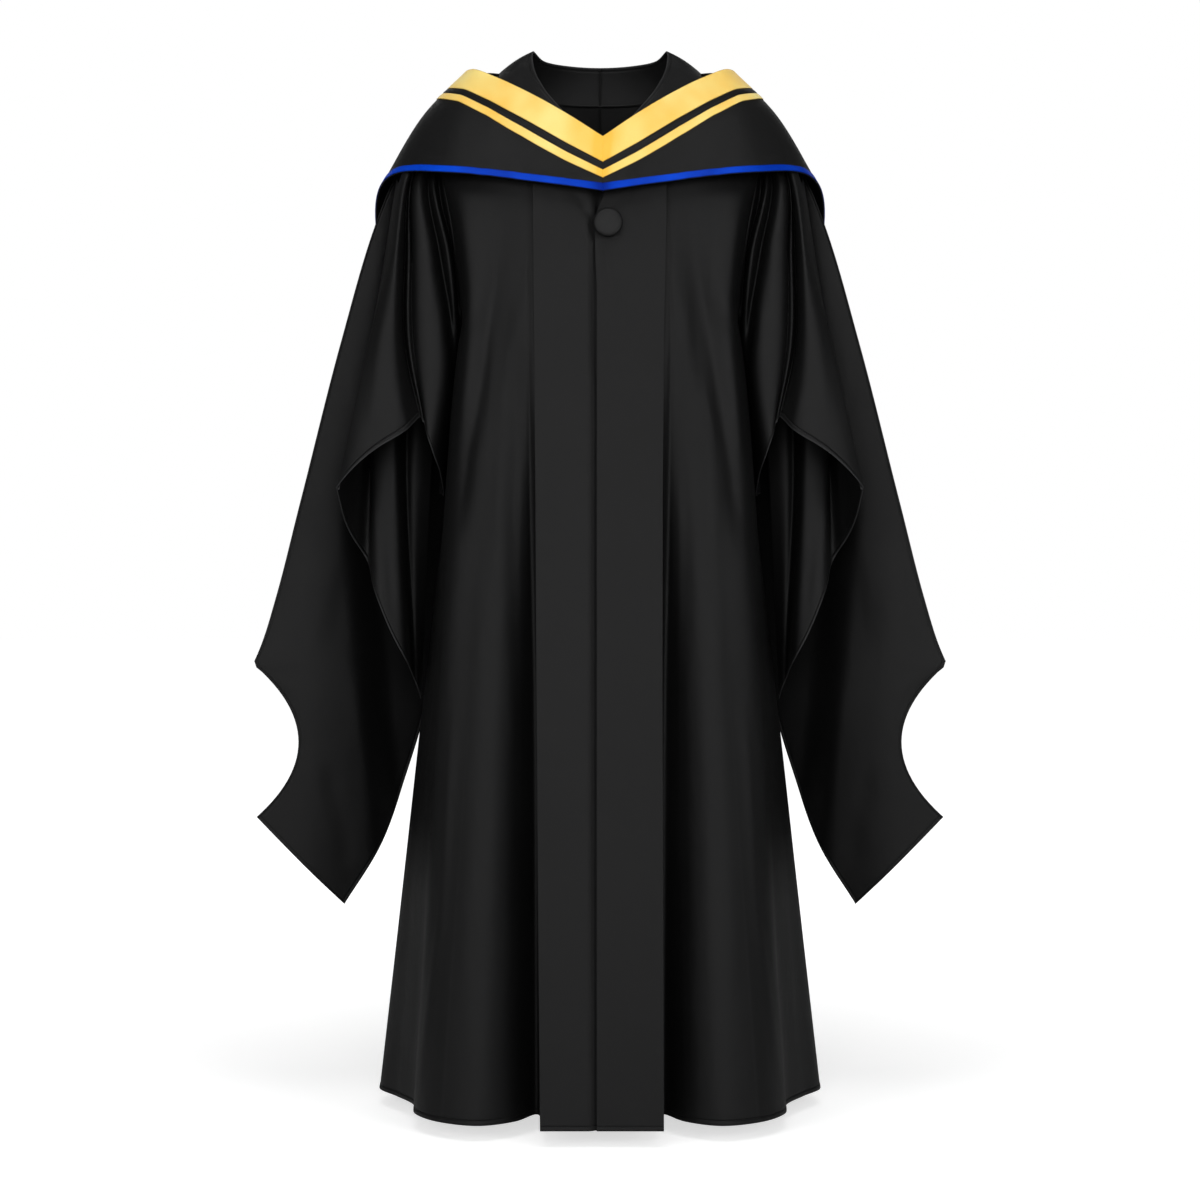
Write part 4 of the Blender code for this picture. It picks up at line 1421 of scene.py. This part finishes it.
@dataclass
class Button:
    """A cloth-covered button on its shank."""

    form: Form
    x: float = 8.4
    z: float = -162.0
    radius: float = 15.5
    thickness: float = 6.0
    crown: float = 1.8
    rings: tuple[Ring, ...] = (
        Ring(0.0, 1.0, 1.0),
        Ring(0.30, 1.0, 0.93),
        Ring(0.58, 1.0, 0.68),
        Ring(0.80, 1.0, 0.28),
        Ring(0.92, 1.0, added=-0.35),
        Ring(0.985, 1.0, added=-1.3),
        Ring(1.0, 0.55),
        Ring(0.985, 0.30),
        Ring(0.93, 0.10),
        Ring(0.80, 0.0),
    )
    shank_radius: float = 4.0
    shank_top: float = 0.2
    shank_length: float = 1.6
    seat_gap: float = 0.6
    merge: float = 0.02
    steps: int = 72
    gathers: int = 26
    gather_start: float = 0.72
    gather_width: float = 0.2
    gather_depth: float = 0.012
    gather_drift: float = 1.3
    gather_drifts: int = 3

    def spin(self, shape: bmesh.types.BMesh) -> None:
        """Spin the profile round the button's axis, crown up.

        Args:
            shape: The empty bmesh that it goes into.
        """
        profile = [
            (
                self.radius * ring.radius,
                self.thickness * ring.thickness + self.crown * ring.crown + ring.added,
            )
            for ring in self.rings
        ]
        profile.append((self.shank_radius, self.shank_top))
        profile.append((self.shank_radius, -self.shank_length))
        profile.append((0.0, -self.shank_length))
        points = [shape.verts.new((radius * MM, 0.0, height * MM)) for radius, height in profile]
        edges = [shape.edges.new(pair) for pair in zip(points, points[1:])]
        bmesh.ops.spin(
            shape, geom=[*points, *edges], cent=(0, 0, 0), axis=(0, 0, 1), dvec=(0, 0, 0),
            angle=2 * math.pi, steps=self.steps, use_merge=True, use_duplicate=False,
        )
        bmesh.ops.remove_doubles(shape, verts=shape.verts[:], dist=self.merge * MM)
        bmesh.ops.recalc_face_normals(shape, faces=shape.faces[:])

    def gather(self, shape: bmesh.types.BMesh) -> None:
        """Pucker the cloth at the rim.

        Args:
            shape: The spun button.
        """
        for vertex in shape.verts:
            radius = math.hypot(vertex.co.x, vertex.co.y) / MM
            angle = math.atan2(vertex.co.y, vertex.co.x)
            past = radius - self.radius * self.gather_start
            rim = float(smooth_step(past / (self.radius * self.gather_width)))
            low = float(smooth_step((self.thickness * MM - vertex.co.z) / (self.thickness * MM)))
            drift = self.gather_drift * math.sin(self.gather_drifts * angle)
            inwards = self.gather_depth * rim * low * (1 + math.cos(self.gathers * angle + drift))
            vertex.co -= Vector((vertex.co.x, vertex.co.y, 0.0)) * inwards

    def seat(self, shape: bmesh.types.BMesh) -> None:
        """Turn the button to face forwards and set it on the upper band.

        Args:
            shape: The button, crown up.
        """
        above = self.form.band_face(self.z + self.radius)[0]
        below = self.form.band_face(self.z - self.radius)[0]
        tilt = math.atan2(above - below, 2 * self.radius)
        front = ((above + below) / 2 - self.seat_gap - self.shank_length) * MM
        turn = bpy.data.objects.new("turn", None)
        turn.rotation_euler = (math.pi / 2 - tilt, 0.0, 0.0)
        turn.location = (self.x * MM, front, self.z * MM)
        bpy.context.scene.collection.objects.link(turn)
        bpy.context.view_layer.update()
        bmesh.ops.transform(shape, matrix=turn.matrix_world, verts=shape.verts[:])
        bpy.data.objects.remove(turn)

    def make(self) -> None:
        """Make the button and dress it."""
        shape = bmesh.new()
        self.spin(shape)
        self.gather(shape)
        self.seat(shape)
        mesh = bpy.data.meshes.new("button_cover")
        shape.to_mesh(mesh)
        shape.free()
        mesh.shade_smooth()
        piece = bpy.data.objects.new("button_cover", mesh)
        bpy.context.scene.collection.objects.link(piece)
        mesh.materials.append(ButtonCloth().material())
        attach(piece, "root")
        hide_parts("button")
        LOG.info("button_cover: %d faces", len(mesh.polygons))


@dataclass(frozen=True)
class ButtonCloth:
    """The gown's cloth drawn tight over a disc."""

    dark: Point = (0.0030, 0.0030, 0.0031)
    light: Point = (0.0052, 0.0052, 0.0053)
    thread_pitch: float = 0.0006
    thread_share: float = 0.5
    clouds: Lumps = Lumps(120.0, 2.0)
    cloud_tone: float = 0.8
    weave_tone: float = 0.1
    cloud_depth: float = 0.0004
    weave_depth: float = 0.00003
    roughness: float = 0.44
    cloud_roughness: float = 0.1
    gloss: float = 0.25

    def material(self) -> bpy.types.Material:
        """Make the cover's material.

        Returns:
            The material.
        """
        shader = Shader("button_cover_cloth")
        place = shader.node("ShaderNodeTexCoord", {}, {}).outputs["Object"]
        parts = shader.node("ShaderNodeSeparateXYZ", {}, {0: place})
        across, down = Signal(shader, parts.outputs[0]), Signal(shader, parts.outputs[2])
        turn = 2 * math.pi / self.thread_pitch
        warp = ((across + down) * turn).wave() * self.thread_share
        weave = warp + ((across - down) * turn).wave() * self.thread_share
        cloudy = shader.noise(self.clouds)
        tone = cloudy * self.cloud_tone + weave * self.weave_tone
        colour = shader.blend(tone, self.dark, self.light)
        normal = shader.bump(cloudy, self.cloud_depth)
        normal = shader.bump(weave, self.weave_depth, normal)
        rough = self.roughness + cloudy * self.cloud_roughness
        return shader.finished(colour, rough, normal, self.gloss)


# --- sleeves --------------------------------------------------------------------------------------


class SleeveFold(NamedTuple):
    """A fold line of the sleeve: its place at four levels, mm."""

    name: str
    head: Point
    upper: Point
    middle: Point
    hem: Point


class WingFold(NamedTuple):
    """A fold of the hanging panel along a line from (x, z) above to (x, z) below: a step or a swell."""

    name: str
    above: Plan
    below: Plan
    half_width: float
    depth: float
    step: bool = False


@dataclass
class Sleeves:
    """Gathered bell fronts, the back halves of the bells and the long hanging panels."""

    form: Form
    thickness: float = 0.9
    hem: float = 5.5
    narrow_hem: float = 3.0
    # Strength of the painted sheen highlight along the bells' hems.
    hem_sheen: float = 0.8
    softness: int = 11
    front_rise: float = 0.5
    inner_rise: float = -0.5
    wing_rise: float = -0.2
    side_seam: Plan = (3.0, 0.4)
    inner_seam: Plan = (3.0, 2.0)
    head_seam: Plan = (4.0, 2.0)
    wing_head_seam: Plan = (3.0, 2.0)
    body_edge_lines: tuple[float, ...] = (0.7,)
    seam_gap: float = 0.8
    columns: int = 8
    rows_down: tuple[int, ...] = (16, 14, 18, 26)
    head_stations: Plan = (0.10, 1.30)
    seam_stations: tuple[float, ...] = (1.30, 1.62, 2.30, 3.45)
    inner_end: Point = (176.0, 26.0, -438.0)
    front_folds: tuple[SleeveFold, ...] = (
        SleeveFold("inner valley", (174, -64, -109), (157.5, -58, -183), (153, -46, -280), (170, -28, -441)),
        SleeveFold("small ridge", (177, -85, -113), (161, -87, -187), (155, -64, -282), (171, -52, -427)),
        SleeveFold("small valley", (184, -68, -110), (172, -66, -185), (158, -66, -282), (172, -70, -417)),
        SleeveFold("broad ridge", (191, -88, -113), (179, -94, -189), (165, -99, -286), (177, -96, -401)),
        SleeveFold("broad side", (198, -82, -112), (197, -89, -188), (194, -97, -285), (183, -98, -380)),
        SleeveFold("thin valley", (200, -72, -109), (200.5, -77, -186), (198.5, -87, -284), (185, -92, -373)),
        SleeveFold("thin ridge", (202, -80, -110), (203.5, -86, -187), (202, -96, -285), (187, -97, -367)),
        SleeveFold("deep valley", (204.5, -60, -108), (209, -62, -184), (208.5, -76, -283), (190, -88, -360)),
        SleeveFold("flap ridge", (206, -90, -114), (215, -101, -190), (214, -112, -287), (205, -116, -379)),
        SleeveFold("flap", (210, -87, -113), (219, -97, -189), (229, -113, -287), (235, -119, -396)),
        SleeveFold("outer ridge", (215, -76, -111), (224, -86, -187), (245, -101, -284), (278, -107, -438)),
    )
    inner_folds: tuple[SleeveFold, ...] = (
        SleeveFold("back turn", (219, -46, -98), (233, -45, -185), (256, -36, -330), (271, -48, -484)),
        SleeveFold("back valley", (214, -24, -96), (230, -20, -185), (246, -10, -328), (251, -27, -515)),
        SleeveFold("tube edge", (209, -20, -98), (222, -27, -185), (246, -32, -330), (244, -66, -538)),
        SleeveFold("tube ridge", (205, -26, -108), (213, -34, -187), (230, -40, -331), (222.8, -73, -592.5)),
        SleeveFold("tube back", (196, -16, -110), (203, -20, -188), (217, -37, -330), (206, -68, -624)),
        SleeveFold("dark valley", (188, -4, -112), (194, -3, -188), (211, -2, -327), (204, -16, -641)),
        SleeveFold("dim ridge", (180, 2, -115), (181, 0, -190), (201, -7, -328), (199.5, -14, -652)),
        SleeveFold("body side", (175, 12, -120), (169, 10, -190), (180, 2, -324), (197.5, 0, -664)),
    )
    wing_outer: tuple[Point, ...] = (
        (184.8, 2, -25),
        (204.5, -7, -52),
        (220.5, -13, -85.5),
        (233.8, -17, -114.5),
        (244.6, -18, -143.5),
        (282.8, -12, -270.5),
        (329.0, -2, -446.5),
        (357.6, 3, -555.5),
        (371.0, 3, -599.5),
        (381.4, 2, -626),
    )
    crescent_low: Point = (379.0, 10.0, -795.0)
    crescent_depth: float = 47.5
    inner_share: float = 9 / 17
    turn: float = 2.1
    hole_fade: Plan = (24.0, 6.0)
    hole_fade_share: float = 0.4
    wing_inner: tuple[Point, ...] = (
        (152.6, 2, -288),
        (156, 32, -325),
        (158.5, 56, -370),
        (162.5, 66, -440),
        (175.5, 64, -550),
        (189.5, 58, -634),
        (197, 55, -674),
        (222.5, 50, -761),
        (247.5, 44, -833),
        (285, 34, -894),
    )
    wing_rows: tuple[int, int] = (72, 28)
    wing_columns: int = 34
    wing_inner_steps: int = 400
    wing_folds: tuple[WingFold, ...] = (
        WingFold("long step", (270, -463), (241, -807), 18, 28, True),
        WingFold("outer swell", (322, -420), (318, -830), 24, -2),
    )
    wing_fade: Plan = (-390.0, -560.0)
    front_creases: tuple[Crease, ...] = (
        Crease(((226, -250), (232, -320), (238, -385)), 7.0, 1.0),
        Crease(((214, -330), (204, -372), (198, -392)), 3.5, 1.0),
        Crease(((180, -170), (176, -230), (178, -290)), 5.0, -0.9),
        Crease(((200, -96), (205, -130), (206, -168)), 2.5, -0.9),
    )
    inner_creases: tuple[Crease, ...] = (
        Crease(((233, -420), (232, -500), (229, -560)), 5.0, 0.8),
        Crease(((236, -430), (228, -520), (216, -590)), 5.0, -0.7),
        Crease(((262, -420), (262, -455), (258, -490)), 4.0, -0.8),
    )
    wing_creases: tuple[Crease, ...] = (
        Crease(((303, -735), (301, -752), (284, -803), (277, -866)), 9.0, -2.0),
        Crease(((280, -285), (276, -341), (271, -372)), 2.0, -0.8),
        Crease(((374, -631), (352, -640), (326, -660)), 5.0, 0.6),
        Crease(((372, -642), (352, -662), (334, -694)), 5.0, -0.5),
        Crease(((318, -470), (322, -560), (330, -640)), 10.0, 0.7),
    )

    def front_points(self) -> np.ndarray:
        """Form the gathered front, from the armhole and body side out to the outer ridge.

        Returns:
            Its points, columns by rows.
        """
        step = np.array((self.seam_gap, 0.0, 0.0))
        hole = self.form.armhole(self.form.armhole_front)
        outermost, innermost = self.head_stations
        seam_line = smooth_curve(hole, self.seam_stations) + step
        lines = [[smooth_curve(hole, [innermost])[0] + step, *seam_line[1:], np.array(self.inner_end)]]
        count = len(self.front_folds)
        for number, fold in enumerate(self.front_folds, start=1):
            place = innermost + (outermost - innermost) * number / count
            lines.append([smooth_curve(hole, [place])[0] + step, *fold[1:]])
        down = stations(self.rows_down)
        places = stations([self.columns] * count)
        beyond = smooth_curve([hole[0] + step, *self.inner_folds[0][1:]], down)
        points = spread([smooth_curve(line, down) for line in lines], places, after=beyond)
        points = softened(points, self.softness)
        shares = places / places[-1]
        top = smooth_curve(hole, innermost + (outermost - innermost) * shares) + step
        return settled(points, top, self.rows_down[0])

    def inner_points(self, front: np.ndarray) -> np.ndarray:
        """Form the back half of the bell, from the front's outer ridge in to the body.

        Args:
            front: The gathered front's points.

        Returns:
            Its points, columns by rows.
        """
        ridge = front[-1, self.rows_down[0]:] + (0.0, self.seam_gap, 0.0)
        down = stations(self.rows_down[1:])
        lines = [smooth_curve(fold[1:], down) for fold in self.inner_folds]
        places = stations([self.columns] * len(self.inner_folds))
        return softened(spread([ridge, *lines], places), self.softness)

    def wing_points(self) -> np.ndarray:
        """Form the long hanging panel: armhole, outer edge with its crescent, tip and inner edge.

        Returns:
            Its points, columns by rows.
        """
        above, beside = self.wing_rows
        upper, lower = np.array(self.wing_outer[-1], dtype=float), np.array(self.crescent_low)
        past = np.linspace(0.0, 1.0, beside + 1)[1:]
        outer = np.concatenate((evenly(self.wing_outer, above), upper + (lower - upper) * past[:, None]))
        bite = np.concatenate((np.zeros(above + 1), self.crescent_depth * 4 * past * (1 - past)))
        down = np.concatenate((
            np.linspace(0.0, self.inner_share, above + 1),
            np.linspace(self.inner_share, 1.0, beside + 1)[1:],
        ))
        inner = evenly(self.wing_inner, self.wing_inner_steps)
        inner = at_distances(inner, down * along_line(inner)[-1])
        hole = evenly(self.form.armhole(self.form.armhole_back), self.wing_columns)
        hole = hole + (self.seam_gap, 0.0, 0.0)
        shares = np.linspace(0.0, 1.0, self.wing_columns + 1)[:, None]
        cut = outer - bite[:, None] * (1.0, 0.0, 0.0)
        points = cut * (1 - shares[..., None]) + inner * shares[..., None]
        width = outer[:, 0] - inner[:, 0]
        inwards = (bite + shares * (width - bite)) / width
        points[..., 1] = outer[:, 1] + (inner - outer)[:, 1] * inwards**self.turn
        quick, slow = self.hole_fade
        power = slow + (quick - slow) * (1 - smooth_step(shares / self.hole_fade_share))
        points = points + (hole - points[:, 0])[:, None] * ((1 - down) ** power)[..., None]
        start, full = self.wing_fade
        for fold in self.wing_folds:
            fall = (points[..., 2] - fold.above[1]) / (fold.below[1] - fold.above[1])
            line_x = fold.above[0] + (fold.below[0] - fold.above[0]) * fall
            inside = (line_x - points[..., 0]) / fold.half_width
            swell = smooth_step((inside + 1) / 2) if fold.step else np.exp(-(inside**2))
            grown = smooth_step((points[..., 2] - start) / (full - start))
            points[..., 1] += fold.depth * swell * grown
        return points

    def make(self) -> None:
        """Dress the three pieces of each sleeve."""
        front = self.front_points()
        inner = self.inner_points(front)
        wing = self.wing_points()
        # The bells' hems get a painted highlight of sheen along their edge.
        bell = GownCloth(stitchings=(Stitching(Edge.BOTTOM, self.hem * MM, rim=self.hem_sheen),))
        free_edges = (Edge.FIRST, Edge.LAST, Edge.BOTTOM)
        narrow = self.narrow_hem * MM
        hanging = GownCloth(stitchings=tuple(Stitching(edge, narrow) for edge in free_edges))
        for side in Side:
            panel = creased(front, as_fallen(self.front_creases, side), (Edge.FIRST, Edge.LAST, Edge.TOP))
            panel = hemmed(panel, Edge.BOTTOM, self.hem, self.front_rise)
            panel = seamed(panel, Edge.LAST, *self.side_seam)
            panel = seamed(panel, Edge.FIRST, *self.inner_seam)
            panel = seamed(panel, Edge.TOP, *self.head_seam)
            Cloth(
                f"sleeve_front_{side.word}_cloth", mirrored(panel, side), self.thickness, bell,
                "gown_cloth", flat=(0.34, 0.36), area=0.080, held="gathered",
            ).dress()
            panel = creased(inner, as_fallen(self.inner_creases, side), (Edge.FIRST,), -1.0)
            panel = hemmed(panel, Edge.BOTTOM, self.hem, self.inner_rise)
            panel = seamed(panel, Edge.FIRST, *self.side_seam)
            panel = lines_near(panel, Edge.LAST, self.body_edge_lines)
            Cloth(
                f"sleeve_inner_{side.word}_cloth", mirrored(panel, side), self.thickness, bell,
                "gown_cloth", flat=(0.28, 0.57), area=0.090, held="hung",
            ).dress()
            panel = creased(wing, as_fallen(self.wing_creases, side), (Edge.TOP,), -1.0)
            for edge in free_edges:
                panel = hemmed(panel, edge, self.narrow_hem, self.wing_rise)
            panel = seamed(panel, Edge.TOP, *self.wing_head_seam)
            Cloth(
                f"sleeve_wing_{side.word}_cloth", mirrored(panel, side), self.thickness, hanging,
                "gown_cloth", flat=(0.30, 0.92), area=0.150, held="hung",
            ).dress()


# --- hood -----------------------------------------------------------------------------------------


class HoodLine(NamedTuple):
    """A line down the hood: neck edge, middle, lower edge, and how much slant widens the bands."""

    name: str
    neck: Point
    middle: Point
    lower: Point
    slant: float


@dataclass
class Hood:
    """The hood's two halves with their yellow bands and blue edge."""

    thickness: float = 1.2
    ribbon: float = 0.7
    wide_band: float = 27.0
    stripe: float = 7.5
    stripe_rise: float = 0.9
    stripe_sink: float = 0.2
    narrow_band: float = 8.0
    edge_width: float = 8.5
    lay_gap: float = 0.15
    seam: Plan = (3.0, 0.5)
    ribbon_seam: Plan = (1.2, 0.3)
    edge_lines: tuple[float, ...] = (0.7,)
    ribbon_edge_lines: tuple[float, ...] = (0.6,)
    column_steps: int = 8
    wide_rows: int = 6
    stripe_rows: int = 7
    narrow_rows: int = 4
    rows_between: int = 18
    edge_rows: int = 3
    seam_x: float = 3.0
    seam_reach: float = 100.0
    lines: tuple[HoodLine, ...] = (
        HoodLine("centre front", (0, -124, -70), (0, -135, -100), (0, -142, -130), 1.14),
        HoodLine("chest inner", (38, -102, -41), (38, -122, -80), (38, -139, -124), 1.45),
        HoodLine("chest", (81.5, -68, -10), (83, -104, -58), (84, -132, -117), 1.66),
        HoodLine("chest outer", (114.5, -42, 10.5), (120, -88, -42), (122, -126, -111), 1.63),
        HoodLine("collarbone", (137.5, -20, 23), (154, -68, -28), (165, -113, -105.5), 1.47),
        HoodLine("shoulder front", (147, 2, 25), (188, -28, -24), (220, -66, -99), 1.20),
        HoodLine("shoulder", (139.5, 22, 26), (198.8, 6, -34.6), (245, 0, -114), 1.10),
        HoodLine("shoulder back", (130, 52, 20), (197, 58, -50), (246, 58, -168), 1.10),
        HoodLine("back outer", (103, 82, 11), (160, 112, -95), (203, 108, -262), 1.10),
        HoodLine("back", (56, 100, 5), (88, 135, -140), (118, 138, -335), 1.10),
        HoodLine("centre back", (0, 106, 2), (0, 142, -150), (0, 147, -362), 1.10),
    )
    creases: tuple[Crease, ...] = (
        Crease(((186, -80), (175, -84), (164, -92)), 3.0, -1.3),
        Crease(((182, -75), (170, -79)), 3.0, 0.9),
        Crease(((30, -104), (33, -112), (38, -121)), 3.0, -1.0),
        Crease(((84, -96), (90, -106), (94, -124)), 5.0, 0.6),
        Crease(((118, -92), (124, -104), (126, -120)), 5.0, -0.6),
        Crease(((206, -66), (204, -80), (206, -100)), 6.0, -0.7),
    )

    def shape(self) -> tuple[np.ndarray, np.ndarray]:
        """Form the hood half on its fine grid.

        Returns:
            The points, and the row numbers of the bands' edges and the lower edge's start.
        """
        places = stations([self.column_steps] * (len(self.lines) - 1))
        slant_line = [(line.slant, float(number), 0.0) for number, line in enumerate(self.lines)]
        slants = smooth_curve(slant_line, places)[:, 0]
        rows = stations([FINE_STEPS] * 2)
        lines = [smooth_curve((line.neck, line.middle, line.lower), rows) for line in self.lines]
        fine_lines = spread(lines, places, after=lines[-2] * MIRROR)
        columns = []
        for fine, slant in zip(fine_lines, slants):
            length = along_line(fine)[-1]
            first = self.wide_band * slant
            second = first + self.stripe * slant
            third = second + self.narrow_band * slant
            start = length - self.edge_width
            distances = np.concatenate((
                np.linspace(0.0, first, self.wide_rows + 1)[:-1],
                np.linspace(first, second, self.stripe_rows + 1)[:-1],
                np.linspace(second, third, self.narrow_rows + 1)[:-1],
                np.linspace(third, start, self.rows_between + 1)[:-1],
                np.linspace(start, length, self.edge_rows + 1),
            ))
            columns.append(at_distances(fine, distances))
        steps = (0, self.wide_rows, self.stripe_rows, self.narrow_rows, self.rows_between, self.edge_rows)
        marks = np.cumsum(steps)
        points = np.array(columns)
        across = np.linspace(-1.0, 1.0, self.stripe_rows + 1)
        rise = np.zeros(points.shape[1])
        rise[marks[1]:marks[2] + 1] = self.stripe_rise * (1 - across**4) - self.stripe_sink
        return points + outward(points) * rise[None, :, None], marks

    def front_seam(self, points: np.ndarray) -> np.ndarray:
        """Set the front seam a little to the wearer's left of the middle.

        Args:
            points: A piece's points, where they would be with the seam in the middle.

        Returns:
            The points with the front ones shifted.
        """
        reach = np.clip(1 - np.abs(points[..., 0]) / self.seam_reach, 0.0, 1.0)
        shift = self.seam_x * reach * (points[..., 1] < 0)
        return points + np.stack((shift, 0 * shift, 0 * shift), axis=2)

    def dress_side(self, hood: np.ndarray, marks: np.ndarray, side: Side) -> None:
        """Dress one half and its ribbons.

        Args:
            hood: The half's points, as on the left.
            marks: The row numbers of the bands' edges and the lower edge's start.
            side: The side it goes on.
        """
        away = outward(hood)
        away[(0, -1), :, 0] = 0.0
        on_top = hood + away * (self.thickness / 2 + self.lay_gap + self.ribbon / 2)
        cloth = lines_near(lines_near(hood, Edge.TOP, self.edge_lines), Edge.BOTTOM, self.edge_lines)
        cloth = seamed(cloth, Edge.FIRST, *self.seam)
        cloth = seamed(cloth, Edge.LAST, *self.seam)
        Cloth(
            f"hood_{side.word}_cloth", self.front_seam(mirrored(cloth, side)), self.thickness, HOOD_CLOTH,
            "hood_cloth", flat=(0.55, 0.42), area=0.120, held="draped",
            rests_on=(f"front_{side.word}", f"back_{side.word}"),
        ).dress()
        wide = on_top[:, marks[0]:marks[1] + 1]
        narrow = on_top[:, marks[2]:marks[3] + 1]
        edge = on_top[:, marks[4]:]
        ribbons = (
            ("hood_wide_band", wide, YELLOW_SATIN, "yellow_satin", (0.42, 0.034), 0.0125),
            ("hood_narrow_band", narrow, YELLOW_SATIN, "yellow_satin", (0.46, 0.010), 0.0041),
            ("hood_edge", edge, BLUE_SATIN, "blue_satin", (0.62, 0.010), 0.0053),
        )
        for name, points, finish, slot, flat, area in ribbons:
            points = seamed(points, Edge.FIRST, *self.ribbon_seam)
            points = seamed(points, Edge.LAST, *self.ribbon_seam)
            for end in (Edge.TOP, Edge.BOTTOM):
                points = lines_near(points, end, self.ribbon_edge_lines)
            Cloth(
                f"{name}_{side.word}_ribbon", self.front_seam(mirrored(points, side)), self.ribbon, finish,
                slot, flat=flat, area=area, held="laid", rests_on=(f"hood_{side.word}_cloth",),
            ).dress(f"{name}_{side.word}")

    def make(self) -> None:
        """Dress both halves and their ribbons."""
        hood, marks = self.shape()
        for side in Side:
            fallen = creased(hood, as_fallen(self.creases, side), (Edge.FIRST, Edge.LAST, Edge.TOP))
            self.dress_side(fallen, marks, side)


# --- floor, light and camera ----------------------------------------------------------------------


@dataclass(frozen=True)
class Lamp:
    """A soft rectangular lamp, in metres, that looks at a point."""

    name: str
    place: Point
    target: Point
    width: float
    height: float
    power: float


@dataclass
class Studio:
    """A pale floor, soft lamps, a white surround and the camera."""

    floor_z: float = -1.112
    floor_size: float = 60.0
    floor_tone: Point = (0.72, 0.72, 0.72)
    floor_roughness: float = 0.9
    floor_glow: float = 0.64
    glow_start: float = 1.17
    glow_full: float = 1.75
    surround: float = 0.09
    eye: Point = (0.0, -2.6, -0.5555)
    picture_width: float = 1.32
    sensor: float = 36.0
    lamps: tuple[Lamp, ...] = (
        Lamp("key_left", (-2.6, -3.1, 0.4), (0.0, 0.0, -0.5), 1.2, 2.4, 41.0),
        Lamp("key_right", (2.6, -3.1, 0.4), (0.0, 0.0, -0.5), 1.2, 2.4, 41.0),
        Lamp("front", (0.0, -4.4, 0.3), (0.0, 0.0, -0.5), 2.2, 2.0, 66.0),
        Lamp("top", (0.0, -1.4, 2.6), (0.0, 0.0, -0.4), 2.4, 1.6, 38.0),
        Lamp("back", (0.0, 3.2, 1.6), (0.0, 0.0, -0.4), 3.0, 1.6, 14.0),
    )

    def floor(self) -> None:
        """Lay the floor; it glows whiter away from the gown."""
        shape = bmesh.new()
        bmesh.ops.create_grid(shape, x_segments=1, y_segments=1, size=self.floor_size / 2)
        for vertex in shape.verts:
            vertex.co.z = self.floor_z
        mesh = bpy.data.meshes.new("floor")
        shape.to_mesh(mesh)
        shape.free()
        floor = bpy.data.objects.new("floor", mesh)
        bpy.context.scene.collection.objects.link(floor)
        shader = Shader("floor_white")
        shader.feed(shader.surface.inputs["Base Color"], (*self.floor_tone, 1.0))
        shader.feed(shader.surface.inputs["Roughness"], self.floor_roughness)
        shader.feed(shader.surface.inputs["Specular IOR Level"], 0.0)
        place = shader.node("ShaderNodeTexCoord", {}, {}).outputs["Object"]
        away = shader.signal("ShaderNodeVectorMath", {"operation": "LENGTH"}, {0: place}, "Value")
        reach = {"Value": away, "From Min": self.glow_start, "From Max": self.glow_full}
        whiter = shader.signal("ShaderNodeMapRange", {}, reach)
        glow = shader.blend(whiter, (self.floor_glow,) * 3, (1.0, 1.0, 1.0))
        seen = shader.node("ShaderNodeLightPath", {}, {}).outputs["Is Camera Ray"]
        shader.feed(shader.surface.inputs["Emission Color"], shader.blend(seen, (0.0, 0.0, 0.0), glow))
        shader.feed(shader.surface.inputs["Emission Strength"], 1.0)
        mesh.materials.append(shader.material)

    def light(self) -> None:
        """Hang the lamps and set the white surround."""
        for lamp in self.lamps:
            data = bpy.data.lights.new(lamp.name, "AREA")
            data.shape = "RECTANGLE"
            data.size, data.size_y = lamp.width, lamp.height
            data.energy = lamp.power
            holder = bpy.data.objects.new(lamp.name, data)
            holder.location = lamp.place
            aim = Vector(lamp.target) - Vector(lamp.place)
            holder.rotation_euler = aim.to_track_quat("-Z", "Y").to_euler()
            bpy.context.scene.collection.objects.link(holder)
        world = bpy.data.worlds.new("surround")
        bpy.context.scene.world = world
        world.use_nodes = True
        tree = world.node_tree
        white = tree.nodes["Background"]
        white.inputs["Color"].default_value = (1.0, 1.0, 1.0, 1.0)
        white.inputs["Strength"].default_value = self.surround
        seen = tree.nodes.new("ShaderNodeBackground")
        seen.inputs["Color"].default_value = (1.0, 1.0, 1.0, 1.0)
        ray = tree.nodes.new("ShaderNodeLightPath")
        choice = tree.nodes.new("ShaderNodeMixShader")
        tree.links.new(ray.outputs["Is Camera Ray"], choice.inputs[0])
        tree.links.new(white.outputs[0], choice.inputs[1])
        tree.links.new(seen.outputs[0], choice.inputs[2])
        tree.links.new(choice.outputs[0], tree.nodes["World Output"].inputs["Surface"])

    def camera(self) -> None:
        """Stand the camera level in front of the gown."""
        data = bpy.data.cameras.new("camera")
        data.sensor_width = self.sensor
        data.lens = self.sensor * -self.eye[1] / self.picture_width
        camera = bpy.data.objects.new("camera", data)
        camera.location = self.eye
        camera.rotation_euler = (math.pi / 2, 0.0, 0.0)
        bpy.context.scene.collection.objects.link(camera)
        bpy.context.scene.camera = camera

    def make(self) -> None:
        """Set the scene."""
        self.floor()
        self.light()
        self.camera()
        bpy.context.scene.view_settings.view_transform = "Standard"


def main() -> None:
    """Load the frame and dress each sub-assembly in order."""
    logging.basicConfig(level=logging.INFO, format="%(name)s: %(message)s")
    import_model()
    form = Form()
    Studio().make()
    GownBody(form).make()
    FrontBands(form).make()
    Collar(form).make()
    Button(form).make()
    Sleeves(form).make()
    Hood().make()


if __name__ == "__main__":
    main()
